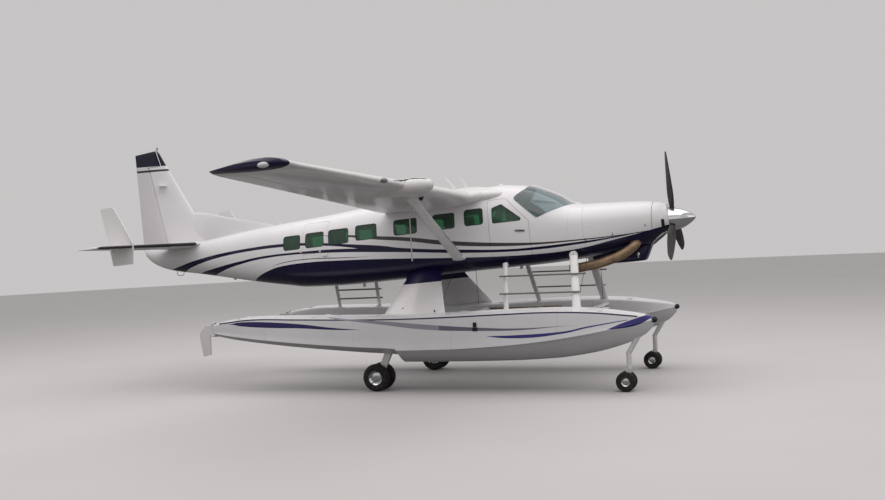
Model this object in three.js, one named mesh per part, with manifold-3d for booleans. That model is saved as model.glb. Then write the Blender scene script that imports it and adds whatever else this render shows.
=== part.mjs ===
// High-wing single-turboprop floatplane on amphibious floats, parked on its four pairs of wheels.
// Millimetres, +X towards the nose, +Y towards the left wing, +Z up, the floor at z = 0.
// The airframe is drawn about its own reference line, with the spinner's tip at its zero point,
// and then stands nose-up on the floats, which are drawn straight above the floor.
import * as THREE from 'three';
import { mergeVertices } from 'three/addons/utils/BufferGeometryUtils.js';
import Module from 'manifold-3d';

const wasm = await Module();
wasm.setup();

// Stance
const noseUpDeg = 3.4;
const spinnerTipX = 6411;
const spinnerTipZ = 3120;
const fit = 0.3;

// Airframe
const skin = 40;
const glassThickness = 14;
const cowlSkin = 25;
const cowlFront = -545;
const firewall = -2050;
const rearBulkhead = -8700;
const tailEnd = -12640;
const floorTop = -430;
const doorGap = 6;
const surfaceGap = 8;
const surfaceEndGap = 22;
const propellerRadius = 1320;
const propellerX = -430;
const bladeCount = 3;

// Floats and gear
const floatTrack = 3200;
const mainWheelRadius = 270;
const mainWheelX = 330;
const noseWheelRadius = 180;
const noseWheelX = 5220;
const ringPoints = 24;

const paint = {
  white: new THREE.MeshStandardMaterial({ color: '#e9e8ec', roughness: 0.35, metalness: 0 }),
  navy: new THREE.MeshStandardMaterial({ color: '#17153a', roughness: 0.3, metalness: 0 }),
  grey: new THREE.MeshStandardMaterial({ color: '#b9b6ba', roughness: 0.5, metalness: 0 }),
  bare: new THREE.MeshStandardMaterial({ color: '#b8bcc2', roughness: 0.25, metalness: 1 }),
  steel: new THREE.MeshStandardMaterial({ color: '#8d7a63', roughness: 0.5, metalness: 1 }),
  black: new THREE.MeshStandardMaterial({ color: '#1c1c1f', roughness: 0.6, metalness: 0 }),
  tyre: new THREE.MeshStandardMaterial({ color: '#26262a', roughness: 0.9, metalness: 0 }),
  glass: new THREE.MeshStandardMaterial({ color: '#3d7a62', roughness: 0.05, metalness: 0 }),
  cloth: new THREE.MeshStandardMaterial({ color: '#4a4438', roughness: 0.9, metalness: 0 }),
};

// Solids and sections

function closedGeometry(positions, index) {
  const geometry = new THREE.BufferGeometry();
  geometry.setAttribute('position', new THREE.Float32BufferAttribute(positions, 3));
  geometry.setIndex(index);
  return geometry;
}

function solid(source) {
  let geometry = source.clone();
  geometry.deleteAttribute('normal');
  geometry.deleteAttribute('uv');
  geometry = mergeVertices(geometry, 1e-3);
  const mesh = new wasm.Mesh({
    numProp: 3,
    vertProperties: new Float32Array(geometry.attributes.position.array),
    triVerts: new Uint32Array(geometry.index.array),
  });
  return new wasm.Manifold(mesh);
}

function geometryOf(body) {
  const mesh = body.getMesh();
  return closedGeometry(Array.from(mesh.vertProperties), Array.from(mesh.triVerts));
}

function joined(first, ...rest) {
  return rest.reduce((whole, next) => whole.add(next), first);
}

function cutBy(first, ...rest) {
  return rest.reduce((whole, next) => whole.subtract(next), first);
}

function moved(body, matrix) {
  return solid(geometryOf(body).applyMatrix4(matrix));
}

function mirrored(body) {
  const geometry = geometryOf(body).scale(1, -1, 1);
  const index = Array.from(geometry.index.array);
  for (let i = 0; i < index.length; i += 3) [index[i], index[i + 1]] = [index[i + 1], index[i]];
  geometry.setIndex(index);
  return solid(geometry);
}

// A body through like-numbered rings of points, closed at both ends by a fan.
// A ring's second half is split the other way, so that a symmetric ring gives a symmetric body
function loft(rings) {
  const count = rings[0].length;
  const points = rings.flat();
  const index = [];
  for (let r = 0; r < rings.length - 1; r += 1) {
    for (let i = 0; i < count; i += 1) {
      const a = r * count + i;
      const b = r * count + ((i + 1) % count);
      if (i < count / 2) index.push(a, b, a + count, b, b + count, a + count);
      else index.push(a, b, b + count, a, b + count, a + count);
    }
  }
  [0, rings.length - 1].forEach((r, end) => {
    const middle = rings[r].reduce((sum, p) => sum.add(p), new THREE.Vector3()).divideScalar(count);
    const hub = points.push(middle) - 1;
    for (let i = 0; i < count; i += 1) {
      const a = r * count + i;
      const b = r * count + ((i + 1) % count);
      if (end === 0) index.push(hub, b, a);
      else index.push(hub, a, b);
    }
  });
  let volume = 0;
  for (let i = 0; i < index.length; i += 3) {
    const [a, b, c] = [points[index[i]], points[index[i + 1]], points[index[i + 2]]];
    volume += a.dot(b.clone().cross(c));
  }
  if (volume < 0) {
    for (let i = 0; i < index.length; i += 3) [index[i], index[i + 1]] = [index[i + 1], index[i]];
  }
  return solid(closedGeometry(points.flatMap((p) => [p.x, p.y, p.z]), index));
}

// Prisms: an outline in side view pushed along Y, or an outline in plan pushed along Z
function sidePrism(outline, yLow, yHigh) {
  const shape = outline instanceof THREE.Shape ? outline
    : new THREE.Shape(outline.map(([x, z]) => new THREE.Vector2(x, z)));
  const settings = { depth: yHigh - yLow, bevelEnabled: false, curveSegments: 3 };
  const geometry = new THREE.ExtrudeGeometry(shape, settings);
  geometry.rotateX(Math.PI / 2);
  geometry.translate(0, yHigh, 0);
  return solid(geometry);
}

function planPrism(outline, zLow, zHigh) {
  const shape = new THREE.Shape(outline.map(([x, y]) => new THREE.Vector2(x, y)));
  const geometry = new THREE.ExtrudeGeometry(shape, { depth: zHigh - zLow, bevelEnabled: false });
  geometry.translate(0, 0, zLow);
  return solid(geometry);
}

function box(xLow, xHigh, yLow, yHigh, zLow, zHigh) {
  const geometry = new THREE.BoxGeometry(xHigh - xLow, yHigh - yLow, zHigh - zLow);
  geometry.translate((xLow + xHigh) / 2, (yLow + yHigh) / 2, (zLow + zHigh) / 2);
  return solid(geometry);
}

// A round bar between two points, with its own radius at each end
function bar(from, to, fromRadius, toRadius = fromRadius, sides = 12) {
  const along = to.clone().sub(from);
  const geometry = new THREE.CylinderGeometry(toRadius, fromRadius, along.length(), sides);
  const upward = new THREE.Vector3(0, 1, 0);
  const turn = new THREE.Quaternion().setFromUnitVectors(upward, along.clone().normalize());
  geometry.applyQuaternion(turn);
  geometry.translate((from.x + to.x) / 2, (from.y + to.y) / 2, (from.z + to.z) / 2);
  return solid(geometry);
}

// A flat-sided bar between two points: width along X, thickness across, with rounded corners in plan
function blade(from, to, width, thickness, endWidth = width, endThickness = thickness) {
  const sides = 12;
  const rings = [[from, width, thickness], [to, endWidth, endThickness]].map(([centre, wide, thick]) => (
    Array.from({ length: sides }, (_, i) => {
      const angle = (2 * Math.PI * i) / sides;
      const x = Math.sign(Math.cos(angle)) * Math.abs(Math.cos(angle)) ** 0.7;
      return new THREE.Vector3(centre.x + (wide / 2) * x, centre.y + (thick / 2) * Math.sin(angle), centre.z);
    })
  ));
  return loft(rings);
}

// Radius of a many-sided hole that clears a round pin by the fit
function boreRadius(pinRadius, sides) {
  return (pinRadius + fit) / Math.cos(Math.PI / sides);
}

// Hinge arms from a fixed surface back to a moving surface's round nose, which they clasp at three places
const armPlaces = [0.12, 0.5, 0.88];
const armShare = 0.4;
function hingeArms([from, to], [fromRadius, toRadius], reach) {
  const sides = 32;
  const nose = bar(from, to, boreRadius(fromRadius, sides), boreRadius(toRadius, sides), sides);
  return joined(...armPlaces.map((place) => {
    const at = from.clone().lerp(to, place);
    const radius = armShare * (fromRadius + place * (toRadius - fromRadius));
    return bar(at, at.clone().setX(at.x + reach), radius, radius, 8);
  })).subtract(nose);
}

function roundedBox(xLow, xHigh, zLow, zHigh, radius) {
  const shape = new THREE.Shape();
  shape.moveTo(xLow + radius, zLow);
  shape.lineTo(xHigh - radius, zLow);
  shape.absarc(xHigh - radius, zLow + radius, radius, -Math.PI / 2, 0);
  shape.lineTo(xHigh, zHigh - radius);
  shape.absarc(xHigh - radius, zHigh - radius, radius, 0, Math.PI / 2);
  shape.lineTo(xLow + radius, zHigh);
  shape.absarc(xLow + radius, zHigh - radius, radius, Math.PI / 2, Math.PI);
  shape.lineTo(xLow, zLow + radius);
  shape.absarc(xLow + radius, zLow + radius, radius, Math.PI, 1.5 * Math.PI);
  return shape;
}

// A convex outline drawn in by a gap on every edge
function drawnIn(outline, gap) {
  const area = outline.reduce((sum, [x, z], i) => {
    const [nextX, nextZ] = outline[(i + 1) % outline.length];
    return sum + x * nextZ - nextX * z;
  }, 0);
  const side = Math.sign(area);
  const edges = outline.map(([x, z], i) => {
    const [nextX, nextZ] = outline[(i + 1) % outline.length];
    const length = Math.hypot(nextX - x, nextZ - z);
    const [alongX, alongZ] = [(nextX - x) / length, (nextZ - z) / length];
    return { x: x - side * gap * alongZ, z: z + side * gap * alongX, alongX, alongZ };
  });
  return edges.map((edge, i) => {
    const last = edges[(i + edges.length - 1) % edges.length];
    const turn = last.alongX * edge.alongZ - last.alongZ * edge.alongX;
    const t = ((edge.x - last.x) * edge.alongZ - (edge.z - last.z) * edge.alongX) / turn;
    return [last.x + t * last.alongX, last.z + t * last.alongZ];
  });
}

// Fuselage sections about the reference line, nose to tail:
// station, top, bottom, half width, height of the widest point, and how square the upper and lower halves are
const fuselageSections = [
  [-545, 325, -235, 285, 40, 2.0, 2.0],
  [-700, 370, -355, 405, 30, 2.1, 2.1],
  [-930, 408, -470, 520, 20, 2.2, 2.3],
  [-1280, 440, -515, 625, 10, 2.3, 2.6],
  [-1750, 475, -555, 720, 10, 2.4, 2.9],
  [-2050, 492, -575, 765, 20, 2.5, 3.1],
  [-2290, 522, -585, 790, 30, 2.5, 3.2],
  [-2600, 720, -595, 815, 40, 2.2, 3.3],
  [-2880, 865, -605, 832, 50, 2.3, 3.4],
  [-3120, 970, -608, 842, 50, 2.5, 3.5],
  [-3450, 1040, -610, 850, 50, 2.7, 3.6],
  [-3780, 1078, -610, 855, 50, 2.8, 3.6],
  [-4370, 1062, -605, 858, 50, 2.9, 3.6],
  [-6200, 1020, -628, 850, 50, 2.9, 3.6],
  [-7200, 955, -628, 815, 55, 2.8, 3.4],
  [-7900, 912, -605, 765, 65, 2.7, 3.2],
  [-8400, 890, -575, 715, 85, 2.6, 3.0],
  [-8700, 877, -525, 680, 105, 2.5, 2.8],
  [-9750, 815, -330, 535, 185, 2.3, 2.5],
  [-10360, 768, -200, 450, 240, 2.2, 2.3],
  [-11170, 705, -30, 335, 300, 2.1, 2.1],
  [-11950, 690, 130, 215, 390, 2.0, 2.0],
  [-12350, 690, 290, 145, 490, 2.0, 2.0],
  [-12580, 690, 480, 85, 590, 2.0, 2.0],
  [-12640, 685, 600, 40, 645, 2.0, 2.0],
];

function fuselageLoft(front, rear, inset, frontTrim = 0, rearTrim = 0) {
  const rings = fuselageSections
    .filter(([station]) => station <= front && station >= rear)
    .map(([station, top, bottom, half, waist, upper, lower]) => {
      let x = station;
      if (station === front) x -= frontTrim;
      if (station === rear) x += rearTrim;
      return Array.from({ length: ringPoints }, (_, i) => {
        const angle = (2 * Math.PI * i) / ringPoints - Math.PI / 2;
        const [c, s] = [Math.cos(angle), Math.sin(angle)];
        const power = 2 / (s >= 0 ? upper : lower);
        const height = (s >= 0 ? top - waist : waist - bottom) - inset;
        return new THREE.Vector3(
          x,
          (half - inset) * Math.sign(c) * Math.abs(c) ** power,
          waist + height * Math.sign(s) * Math.abs(s) ** power,
        );
      });
    });
  return loft(rings);
}

// Openings in the cabin wall, in side view
// windows: rear edge, front edge, sill, head
const windows = [
  [-8610, -8170, 240, 550],
  [-8050, -7580, 240, 560],
  [-7470, -6980, 250, 570],
  [-6820, -6320, 270, 590],
  [-5940, -5420, 280, 600],
  [-5080, -4600, 290, 610],
  [-4400, -4000, 300, 630],
];
const windowCorner = 70;
const crewWindow = [[-3820, 600], [-3620, 660], [-3230, 340], [-3250, 290], [-3820, 290]];
const windshieldOutline = [
  [-2190, 560], [-2330, 500], [-2540, 430], [-2750, 365], [-2915, 300], [-2965, 325],
  [-3415, 755], [-3190, 930], [-3130, 1150], [-2190, 1150],
];
const crewDoor = [[-3900, -400], [-3080, -400], [-3080, 270], [-3530, 765], [-3900, 765]];
// rear door halves, each a box in side view (rear edge, front edge, sill, head), with its hinge line's
// taper in plan; its ends stand square to that line, about the cabin's half width at the waist
const airstair = {
  upper: { outline: [-8120, -7500, 114, 770], taper: 0.125, waistHalf: 768 },
  lower: { outline: [-8120, -7500, -400, 120], taper: 0.115, waistHalf: 768 },
};
const cargoDoor = {
  upper: { outline: [-7550, -6280, -26, 775], taper: 0.09, waistHalf: 820 },
  lower: { outline: [-7550, -6280, -400, -20], taper: 0.056, waistHalf: 820 },
};
const outside = 1300;

function boxOutline([xLow, xHigh, zLow, zHigh]) {
  return [[xLow, zLow], [xHigh, zLow], [xHigh, zHigh], [xLow, zHigh]];
}

function rightSide(outline) {
  return sidePrism(outline, -outside, -80);
}

function leftSide(outline) {
  return sidePrism(outline, 80, outside);
}

const cabinWall = cutBy(
  fuselageLoft(firewall, rearBulkhead, 0),
  fuselageLoft(firewall, rearBulkhead, skin, skin, skin),
);
const windowHoles = windows.map(([rear, front, sill, head]) => (
  roundedBox(rear, front, sill, head, windowCorner)
));
const rightHoles = joined(rightSide(crewWindow), ...windowHoles.map(rightSide));
const leftHoles = joined(leftSide(crewWindow), ...windowHoles.map(leftSide));
function squaredTo(taper, waistHalf, side) {
  const lean = side === rightSide ? taper : -taper;
  const shear = new THREE.Matrix4().set(1, lean, 0, taper * waistHalf, 0, 1, 0, 0, 0, 0, 1, 0, 0, 0, 0, 1);
  return (outline) => moved(side(outline), shear);
}
function rearDoorWay({ outline, taper, waistHalf }, side) {
  return squaredTo(taper, waistHalf, side)(boxOutline(outline));
}

const fuselageShell = cutBy(
  cabinWall,
  rightHoles,
  leftHoles,
  sidePrism(windshieldOutline, -outside, outside),
  rightSide(crewDoor),
  leftSide(crewDoor),
  rearDoorWay(airstair.upper, rightSide),
  rearDoorWay(airstair.lower, rightSide),
  rearDoorWay(cargoDoor.upper, leftSide),
  rearDoorWay(cargoDoor.lower, leftSide),
);

// Hinge leaves that cross the gap at each door's hinged edge, boxes in side view
const leafDepth = 30;
const leafHalf = 40;
const crewDoorFront = -3080;
const crewLeaves = [[150, 220], [-340, -270]]
  .map(([low, high]) => [crewDoorFront - leafDepth, crewDoorFront - fit, low, high]);
function edgeLeaves([xLow, xHigh, sill, head], atHead) {
  const [low, high] = atHead ? [head - leafDepth, head - fit] : [sill + fit, sill + leafDepth];
  return [0.15, 0.85].map((share) => {
    const middle = xLow + share * (xHigh - xLow);
    return [middle - leafHalf, middle + leafHalf, low, high];
  });
}

function doorOf(pushed, holes, outline, leaves) {
  const leafPrisms = leaves.map((leaf) => pushed(boxOutline(leaf)));
  const panelAndLeaves = joined(pushed(drawnIn(outline, doorGap)), ...leafPrisms);
  return cabinWall.intersect(panelAndLeaves).subtract(holes);
}

function rearDoor({ outline, taper, waistHalf }, side, holes, hingedAtHead) {
  const pushed = squaredTo(taper, waistHalf, side);
  return doorOf(pushed, holes, boxOutline(outline), edgeLeaves(outline, hingedAtHead));
}

const windshield = cutBy(
  fuselageLoft(firewall, rearBulkhead, 0),
  fuselageLoft(firewall, rearBulkhead, glassThickness),
).intersect(sidePrism(drawnIn(windshieldOutline, 1), -outside, outside));

// Engine, cowl and propeller
const chinSections = [
  // station, top, bottom, half width
  [-880, -380, -465, 175],
  [-1045, -430, -740, 190],
  [-1680, -450, -735, 190],
  [-2040, -500, -625, 150],
];
const chin = loft(chinSections.map(([x, top, bottom, half]) => (
  Array.from({ length: 16 }, (_, i) => {
    const angle = (2 * Math.PI * i) / 16;
    const [c, s] = [Math.cos(angle), Math.sin(angle)];
    const y = half * Math.sign(c) * Math.abs(c) ** 0.5;
    const z = (top + bottom) / 2 + ((top - bottom) / 2) * Math.sign(s) * Math.abs(s) ** 0.5;
    return new THREE.Vector3(x, y, z);
  })
)));
const chinScoop = chin.subtract(fuselageLoft(cowlFront, firewall, -fit));
const shaftRadius = 70;
const intake = { halfWidth: 170, low: -190, high: -110 };
const engineCowl = cutBy(
  fuselageLoft(cowlFront, firewall, 0, 0, fit),
  fuselageLoft(cowlFront, firewall, cowlSkin, cowlSkin, -5),
  bar(new THREE.Vector3(-500, 0, 0), new THREE.Vector3(-650, 0, 0), shaftRadius + 15, shaftRadius + 15, 20),
  box(-650, -500, -intake.halfWidth, intake.halfWidth, intake.low, intake.high),
);
const engineRadius = 240;
const engineFront = -760;
function crankline(x) {
  return new THREE.Vector3(x, 0, 0);
}
const engineBlock = bar(crankline(engineFront), crankline(firewall + fit), engineRadius, engineRadius, 20);

const spinnerRadius = 222;
const hubFront = -330;
const hubRear = -530;
const spinnerProfile = [[0, 0], [-25, 45], [-80, 92], [-160, 142], [-240, 180], [hubFront + fit, 205]];
const spinnerNose = new THREE.LatheGeometry(
  spinnerProfile.concat([[hubFront + fit, 0]]).map(([x, r]) => new THREE.Vector2(r, x)).reverse(),
  24,
);
spinnerNose.rotateZ(-Math.PI / 2);
// blade sections: radius, chord, thickness, pitch in degrees from the disc
const bladeSections = [
  [150, 110, 90, 60],
  [330, 150, 60, 50],
  [600, 215, 34, 38],
  [900, 225, 24, 28],
  [1180, 190, 16, 22],
  [propellerRadius, 110, 10, 20],
];
function propellerBlade(angle) {
  const rings = bladeSections.map(([radius, chord, thickness, pitchDeg]) => {
    const pitch = THREE.MathUtils.degToRad(pitchDeg);
    return Array.from({ length: 10 }, (_, i) => {
      const t = (2 * Math.PI * i) / 10;
      const across = (chord / 2) * Math.cos(t);
      const deep = (thickness / 2) * Math.sin(t);
      return new THREE.Vector3(
        propellerX + across * Math.sin(pitch) + deep * Math.cos(pitch),
        across * Math.cos(pitch) - deep * Math.sin(pitch),
        radius,
      ).applyAxisAngle(new THREE.Vector3(1, 0, 0), angle);
    });
  });
  return loft(rings);
}
const hub = bar(crankline(hubFront), crankline(hubRear), 206, spinnerRadius, 24);
const shaft = bar(crankline(hubRear + 5), crankline(engineFront + fit), shaftRadius, shaftRadius, 20);
const firstBlade = THREE.MathUtils.degToRad(4);
const propeller = joined(hub, shaft, ...Array.from({ length: bladeCount }, (_, i) => (
  propellerBlade(firstBlade + (2 * Math.PI * i) / bladeCount)
)));

// Exhaust stack: a heat-stained tube from the cowl's right side back under the belly
const exhaustRadius = 92;
const exhaustRoute = new THREE.CatmullRomCurve3([
  [-1130, -470, -400], [-1300, -520, -530], [-1560, -530, -640], [-1900, -520, -700], [-2360, -510, -735],
].map(([x, y, z]) => new THREE.Vector3(x, y, z)));
function roundShape(radius, sides) {
  const shape = new THREE.Shape();
  shape.setFromPoints(Array.from({ length: sides }, (_, i) => {
    const angle = (2 * Math.PI * i) / sides;
    return new THREE.Vector2(radius * Math.cos(angle), radius * Math.sin(angle));
  }));
  return shape;
}
const exhaustTube = solid(new THREE.ExtrudeGeometry(roundShape(exhaustRadius, 16), {
  steps: 14,
  bevelEnabled: false,
  extrudePath: exhaustRoute,
}));
const exhaustBore = exhaustRadius - 8;
const exhaustMouth = bar(
  new THREE.Vector3(-2380, -509.5, -737),
  new THREE.Vector3(-2100, -515, -719),
  exhaustBore,
  exhaustBore,
  16,
);
const exhaust = cutBy(exhaustTube, exhaustMouth, fuselageLoft(cowlFront, rearBulkhead, -fit), chin);

// Cabin
const cabinFloor = fuselageLoft(firewall, rearBulkhead, skin + fit, skin + fit, skin + fit)
  .intersect(box(-8660, -2095, -900, 900, floorTop - 130, floorTop));
const panel = fuselageLoft(firewall, rearBulkhead, skin + fit, skin + fit, skin + fit)
  .intersect(sidePrism([
    [-2200, 150], [-2720, 150], [-2800, 0], [-2760, 320], [-2500, 400], [-2200, 440],
  ], -900, 900));

// Each seat is a plain cushion, back and pedestal; a row stands on one pair of floor rails
// seat rows: front of cushion, cushion middles across
const seatLean = 60;
const seatSize = {
  depth: 470, halfWidth: 225, cushionTop: 20, cushionBottom: -120, backTop: 560, backThickness: 120,
};
function seat(front, middle) {
  const { depth, halfWidth, cushionTop, cushionBottom, backTop, backThickness } = seatSize;
  const rear = front - depth;
  return joined(
    box(rear, front, middle - halfWidth, middle + halfWidth, cushionBottom, cushionTop),
    sidePrism([
      [rear, cushionBottom], [rear + backThickness, cushionBottom],
      [rear + backThickness - seatLean, backTop], [rear - seatLean, backTop],
    ],
      middle - halfWidth, middle + halfWidth),
    box(rear + 60, front - 80, middle - 150, middle + 150, floorTop + fit, cushionBottom + 5),
  );
}
const crewSeatFront = -3020;
const seatRows = [
  [-4250, [-380, 380]],
  [-5150, [-380, 380]],
  [-6050, [-380, 380]],
  [-6950, [-330]],
];
const railHeight = 25;
const seatRails = [-380, 380].map((middle) => (
  box(seatRows[3][0] - 470, seatRows[0][0], middle - 60, middle + 60, floorTop + fit, floorTop + railHeight)
));
const crossRail = box(
  seatRows[0][0] - 420, seatRows[0][0] - 320, -400, 400, floorTop + fit, floorTop + railHeight,
);
const passengerSeats = joined(
  ...seatRails,
  crossRail,
  ...seatRows.flatMap(([front, middles]) => middles.map((middle) => seat(front, middle))),
);
const crewSeats = joined(
  box(crewSeatFront - 380, crewSeatFront - 260, -380, 380, floorTop + fit, floorTop + railHeight),
  seat(crewSeatFront, -350),
  seat(crewSeatFront, 350),
);

// Wing, right side
const wingSections = [
  // span, leading edge station, chord, leading edge height, thickness ratio, twist
  [520, -3820, 2330, 905, 0.15, 2.6],
  [950, -4145, 1985, 866, 0.17, 2.6],
  [7600, -4372, 1242, 1138, 0.125, 0.2],
  [7780, -4385, 1228, 1148, 0.122, 0.1],
  [7890, -4460, 1140, 1165, 0.10, 0],
  [7935, -4640, 940, 1178, 0.05, 0],
];
const airfoilPoints = 10;
function airfoilRing([span, leading, chord, height, thickness, twistDeg], camber = 0.02, grow = 0) {
  const twist = THREE.MathUtils.degToRad(twistDeg);
  const upper = [];
  const lower = [];
  for (let i = 0; i <= airfoilPoints; i += 1) {
    const u = (1 - Math.cos((Math.PI * i) / airfoilPoints)) / 2;
    const bulge = 0.2969 * Math.sqrt(u) - 0.126 * u - 0.3516 * u * u + 0.2843 * u ** 3 - 0.1015 * u ** 4;
    const half = 5 * thickness * bulge;
    const line = u < 0.4 ? (camber / 0.16) * (0.8 * u - u * u) : (camber / 0.36) * (0.2 + 0.8 * u - u * u);
    const trail = 0.0012 * u;
    upper.push([u * chord, (line + half + trail) * chord + grow]);
    lower.push([u * chord, (line - half - trail) * chord - grow]);
  }
  const ring = upper.concat(lower.slice(1).reverse());
  ring[0] = [-grow, ring[0][1] - grow];
  return ring.map(([aft, up]) => new THREE.Vector3(
    leading - aft * Math.cos(twist) + up * Math.sin(twist),
    -span,
    height - aft * Math.sin(twist) + up * Math.cos(twist),
  ));
}
function wingAt(span) {
  const [inner, outer] = [wingSections[1], wingSections[2]];
  const t = (span - inner[0]) / (outer[0] - inner[0]);
  return inner.map((value, i) => value + t * (outer[i] - value));
}
function wingPoint(span, chordShare, side) {
  const ring = airfoilRing(wingAt(span));
  const upper = ring.slice(0, airfoilPoints + 1);
  const lower = [ring[0]].concat(ring.slice(airfoilPoints + 1).reverse());
  const half = side > 0 ? upper : lower;
  const [, leading, chord] = wingAt(span);
  const x = leading - chordShare * chord;
  for (let i = 0; i < half.length - 1; i += 1) {
    if (half[i].x >= x && half[i + 1].x <= x) {
      const t = (half[i].x - x) / (half[i].x - half[i + 1].x);
      return half[i].clone().lerp(half[i + 1], t);
    }
  }
  return half[half.length - 1].clone();
}
const wholeWing = loft(wingSections.map((section) => airfoilRing(section)));

// Control surfaces of the wing: inner span, outer span, share of the chord ahead of them
const flapZone = { inner: 975, outer: 5580, share: 0.70 };
const aileronZone = { inner: 5580 + surfaceEndGap, outer: 7560, share: 0.74 };
function hingeEnds({ inner, outer, share }) {
  return [inner, outer].map((span) => wingPoint(span, share, -1).lerp(wingPoint(span, share, 1), 0.5));
}
function chordX(span, share) {
  const [, leading, chord] = wingAt(span);
  return leading - share * chord;
}
const wingFloor = 300;
const wingCeiling = 1800;
function zonePrism({ inner, outer, share }, ahead, endGap) {
  const [near, far] = [inner + endGap, outer - endGap];
  return planPrism([
    [chordX(near, share) + ahead, -near],
    [chordX(near, 1) - 200, -near],
    [chordX(far, 1) - 200, -far],
    [chordX(far, share) + ahead, -far],
  ], wingFloor, wingCeiling);
}
// Flap ribs of the wing stand in the gap, up to the flap's flat front
const flapRibSpans = [1500, 3280, 5060];
const ribHalf = 9;
const ribFootLift = 12;
const flapRibs = flapRibSpans.map((span) => {
  const [near, far] = [span - ribHalf, span + ribHalf];
  return planPrism([
    [chordX(near, flapZone.share) + fit, -near],
    [chordX(far, flapZone.share) + fit, -far],
    [chordX(far, flapZone.share) + 2 * surfaceGap, -far],
    [chordX(near, flapZone.share) + 2 * surfaceGap, -near],
  ], wingPoint(span, flapZone.share, -1).z + ribFootLift, wingCeiling);
});
function halfThickness(span, share) {
  return wingPoint(span, share, 1).distanceTo(wingPoint(span, share, -1)) / 2;
}
const aileronAxis = hingeEnds({
  inner: aileronZone.inner + surfaceEndGap,
  outer: aileronZone.outer - surfaceEndGap,
  share: aileronZone.share,
});
const aileronNose = [aileronZone.inner, aileronZone.outer].map((span) => (
  halfThickness(span, aileronZone.share) - 1
));
const flap = wholeWing.intersect(zonePrism(flapZone, 0, surfaceEndGap));
const aileron = joined(
  wholeWing.intersect(zonePrism(aileronZone, 0, surfaceEndGap)),
  bar(aileronAxis[0], aileronAxis[1], aileronNose[0], aileronNose[1], 16),
);
const armBite = 20;
const wing = joined(
  cutBy(
    wholeWing,
    cutBy(zonePrism(flapZone, surfaceGap, 0), ...flapRibs),
    zonePrism(aileronZone, aileronNose[0] + surfaceGap, 0),
    fuselageLoft(firewall, rearBulkhead, -fit),
  ),
  hingeArms(aileronAxis, aileronNose, aileronNose[0] + surfaceGap + armBite),
);
const wingClear = loft(wingSections.map((section) => airfoilRing(section, 0.02, fit * 2)));

// Wing strut: a streamlined tube from the belly's side up to the wing's main spar
const strutHead = new THREE.Vector3(-4675, -2870, 838);
const strutFoot = new THREE.Vector3(-4588, -830, -330);
const strutChord = { foot: 235, head: 195 };
const strutThickness = 62;
function strutBlade(grow) {
  return blade(
    strutFoot.clone().lerp(strutHead, -0.04),
    strutHead.clone().lerp(strutFoot, -0.05),
    strutChord.foot + 2 * grow,
    strutThickness + 2 * grow,
    strutChord.head + 2 * grow,
  );
}
const wingStrut = cutBy(strutBlade(0), fuselageLoft(firewall, rearBulkhead, -fit), wingClear);

// Weather radar pod on the right wing's leading edge
const podSpan = 4000;
const podProfile = [
  [-3790, 0], [-3805, 55], [-3850, 105], [-3950, 148], [-4120, 168],
  [-4420, 168], [-4800, 130], [-5150, 60], [-5300, 0],
];
const podHeight = 930;
const podGeometry = new THREE.LatheGeometry(
  podProfile.map(([x, r]) => new THREE.Vector2(r, x)).reverse(),
  20,
);
podGeometry.rotateZ(-Math.PI / 2);
podGeometry.translate(0, -podSpan, podHeight);
const radarPod = solid(podGeometry).subtract(wingClear);

// Tail. Stabilizer sections, right half mirrored: span, leading edge, chord, height, thickness ratio, twist
const stabilizerHeight = 655;
const stabilizerSections = [
  [3125, -11460, 500, stabilizerHeight, 0.05, 0],
  [3060, -11360, 640, stabilizerHeight, 0.10, 0],
  [0, -10960, 1430, stabilizerHeight, 0.10, 0],
  [-3060, -11360, 640, stabilizerHeight, 0.10, 0],
  [-3125, -11460, 500, stabilizerHeight, 0.05, 0],
];
const elevatorHingeX = -11850;
const elevatorOuter = 3000;
const elevatorInner = 150;
function stabilizerLoft(grow) {
  return loft(stabilizerSections.map((section) => airfoilRing(section, 0, grow)));
}
function elevatorPlan(ahead, gap) {
  return planPrism([
    [elevatorHingeX + ahead, -(elevatorInner + gap)],
    [elevatorHingeX - 120, -(elevatorInner + gap)],
    [elevatorHingeX - 620, -(elevatorInner + 250 + gap)],
    [elevatorHingeX - 600, -(elevatorOuter - gap)],
    [elevatorHingeX + ahead, -(elevatorOuter - gap)],
  ], 400, 900);
}
const elevatorNose = [48, 16];
const elevatorAxis = [elevatorInner + 12, elevatorOuter - 12]
  .map((span) => new THREE.Vector3(elevatorHingeX, -span, stabilizerHeight));
const elevator = joined(
  stabilizerLoft(0).intersect(elevatorPlan(0, 12)),
  bar(elevatorAxis[0], elevatorAxis[1], elevatorNose[0], elevatorNose[1], 16),
);
const elevatorCut = elevatorPlan(elevatorNose[0] + surfaceGap, 0);

// Finlets on the stabilizer: side outline above and below it
const finletSpan = 2280;
const finletThickness = 34;
const finletOutline = [
  [-11250, 660], [-11670, 1520], [-11990, 1520], [-11840, 660], [-11790, 285], [-11310, 285],
];
const finlet = sidePrism(finletOutline, -finletSpan - finletThickness / 2, -finletSpan + finletThickness / 2);
const finletSeat = box(
  -11800, -11260, -finletSpan - 60, -finletSpan + 60, stabilizerHeight - 25, stabilizerHeight + 25,
);
const finletSlot = elevatorCut.intersect(box(-12400, -11000, -2700, -1900, 560, 760));
const finletPair = finlet.subtract(finletSlot);
const elevatorArms = hingeArms(elevatorAxis, elevatorNose, elevatorNose[0] + surfaceGap + armBite);

const stabilizer = joined(
  cutBy(
    joined(stabilizerLoft(0), finletPair, mirrored(finletPair), finletSeat, mirrored(finletSeat)),
    elevatorCut,
    mirrored(elevatorCut),
    box(-12700, -11915, -800, 800, 500, 900),
  ),
  elevatorArms,
  mirrored(elevatorArms),
);

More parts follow.
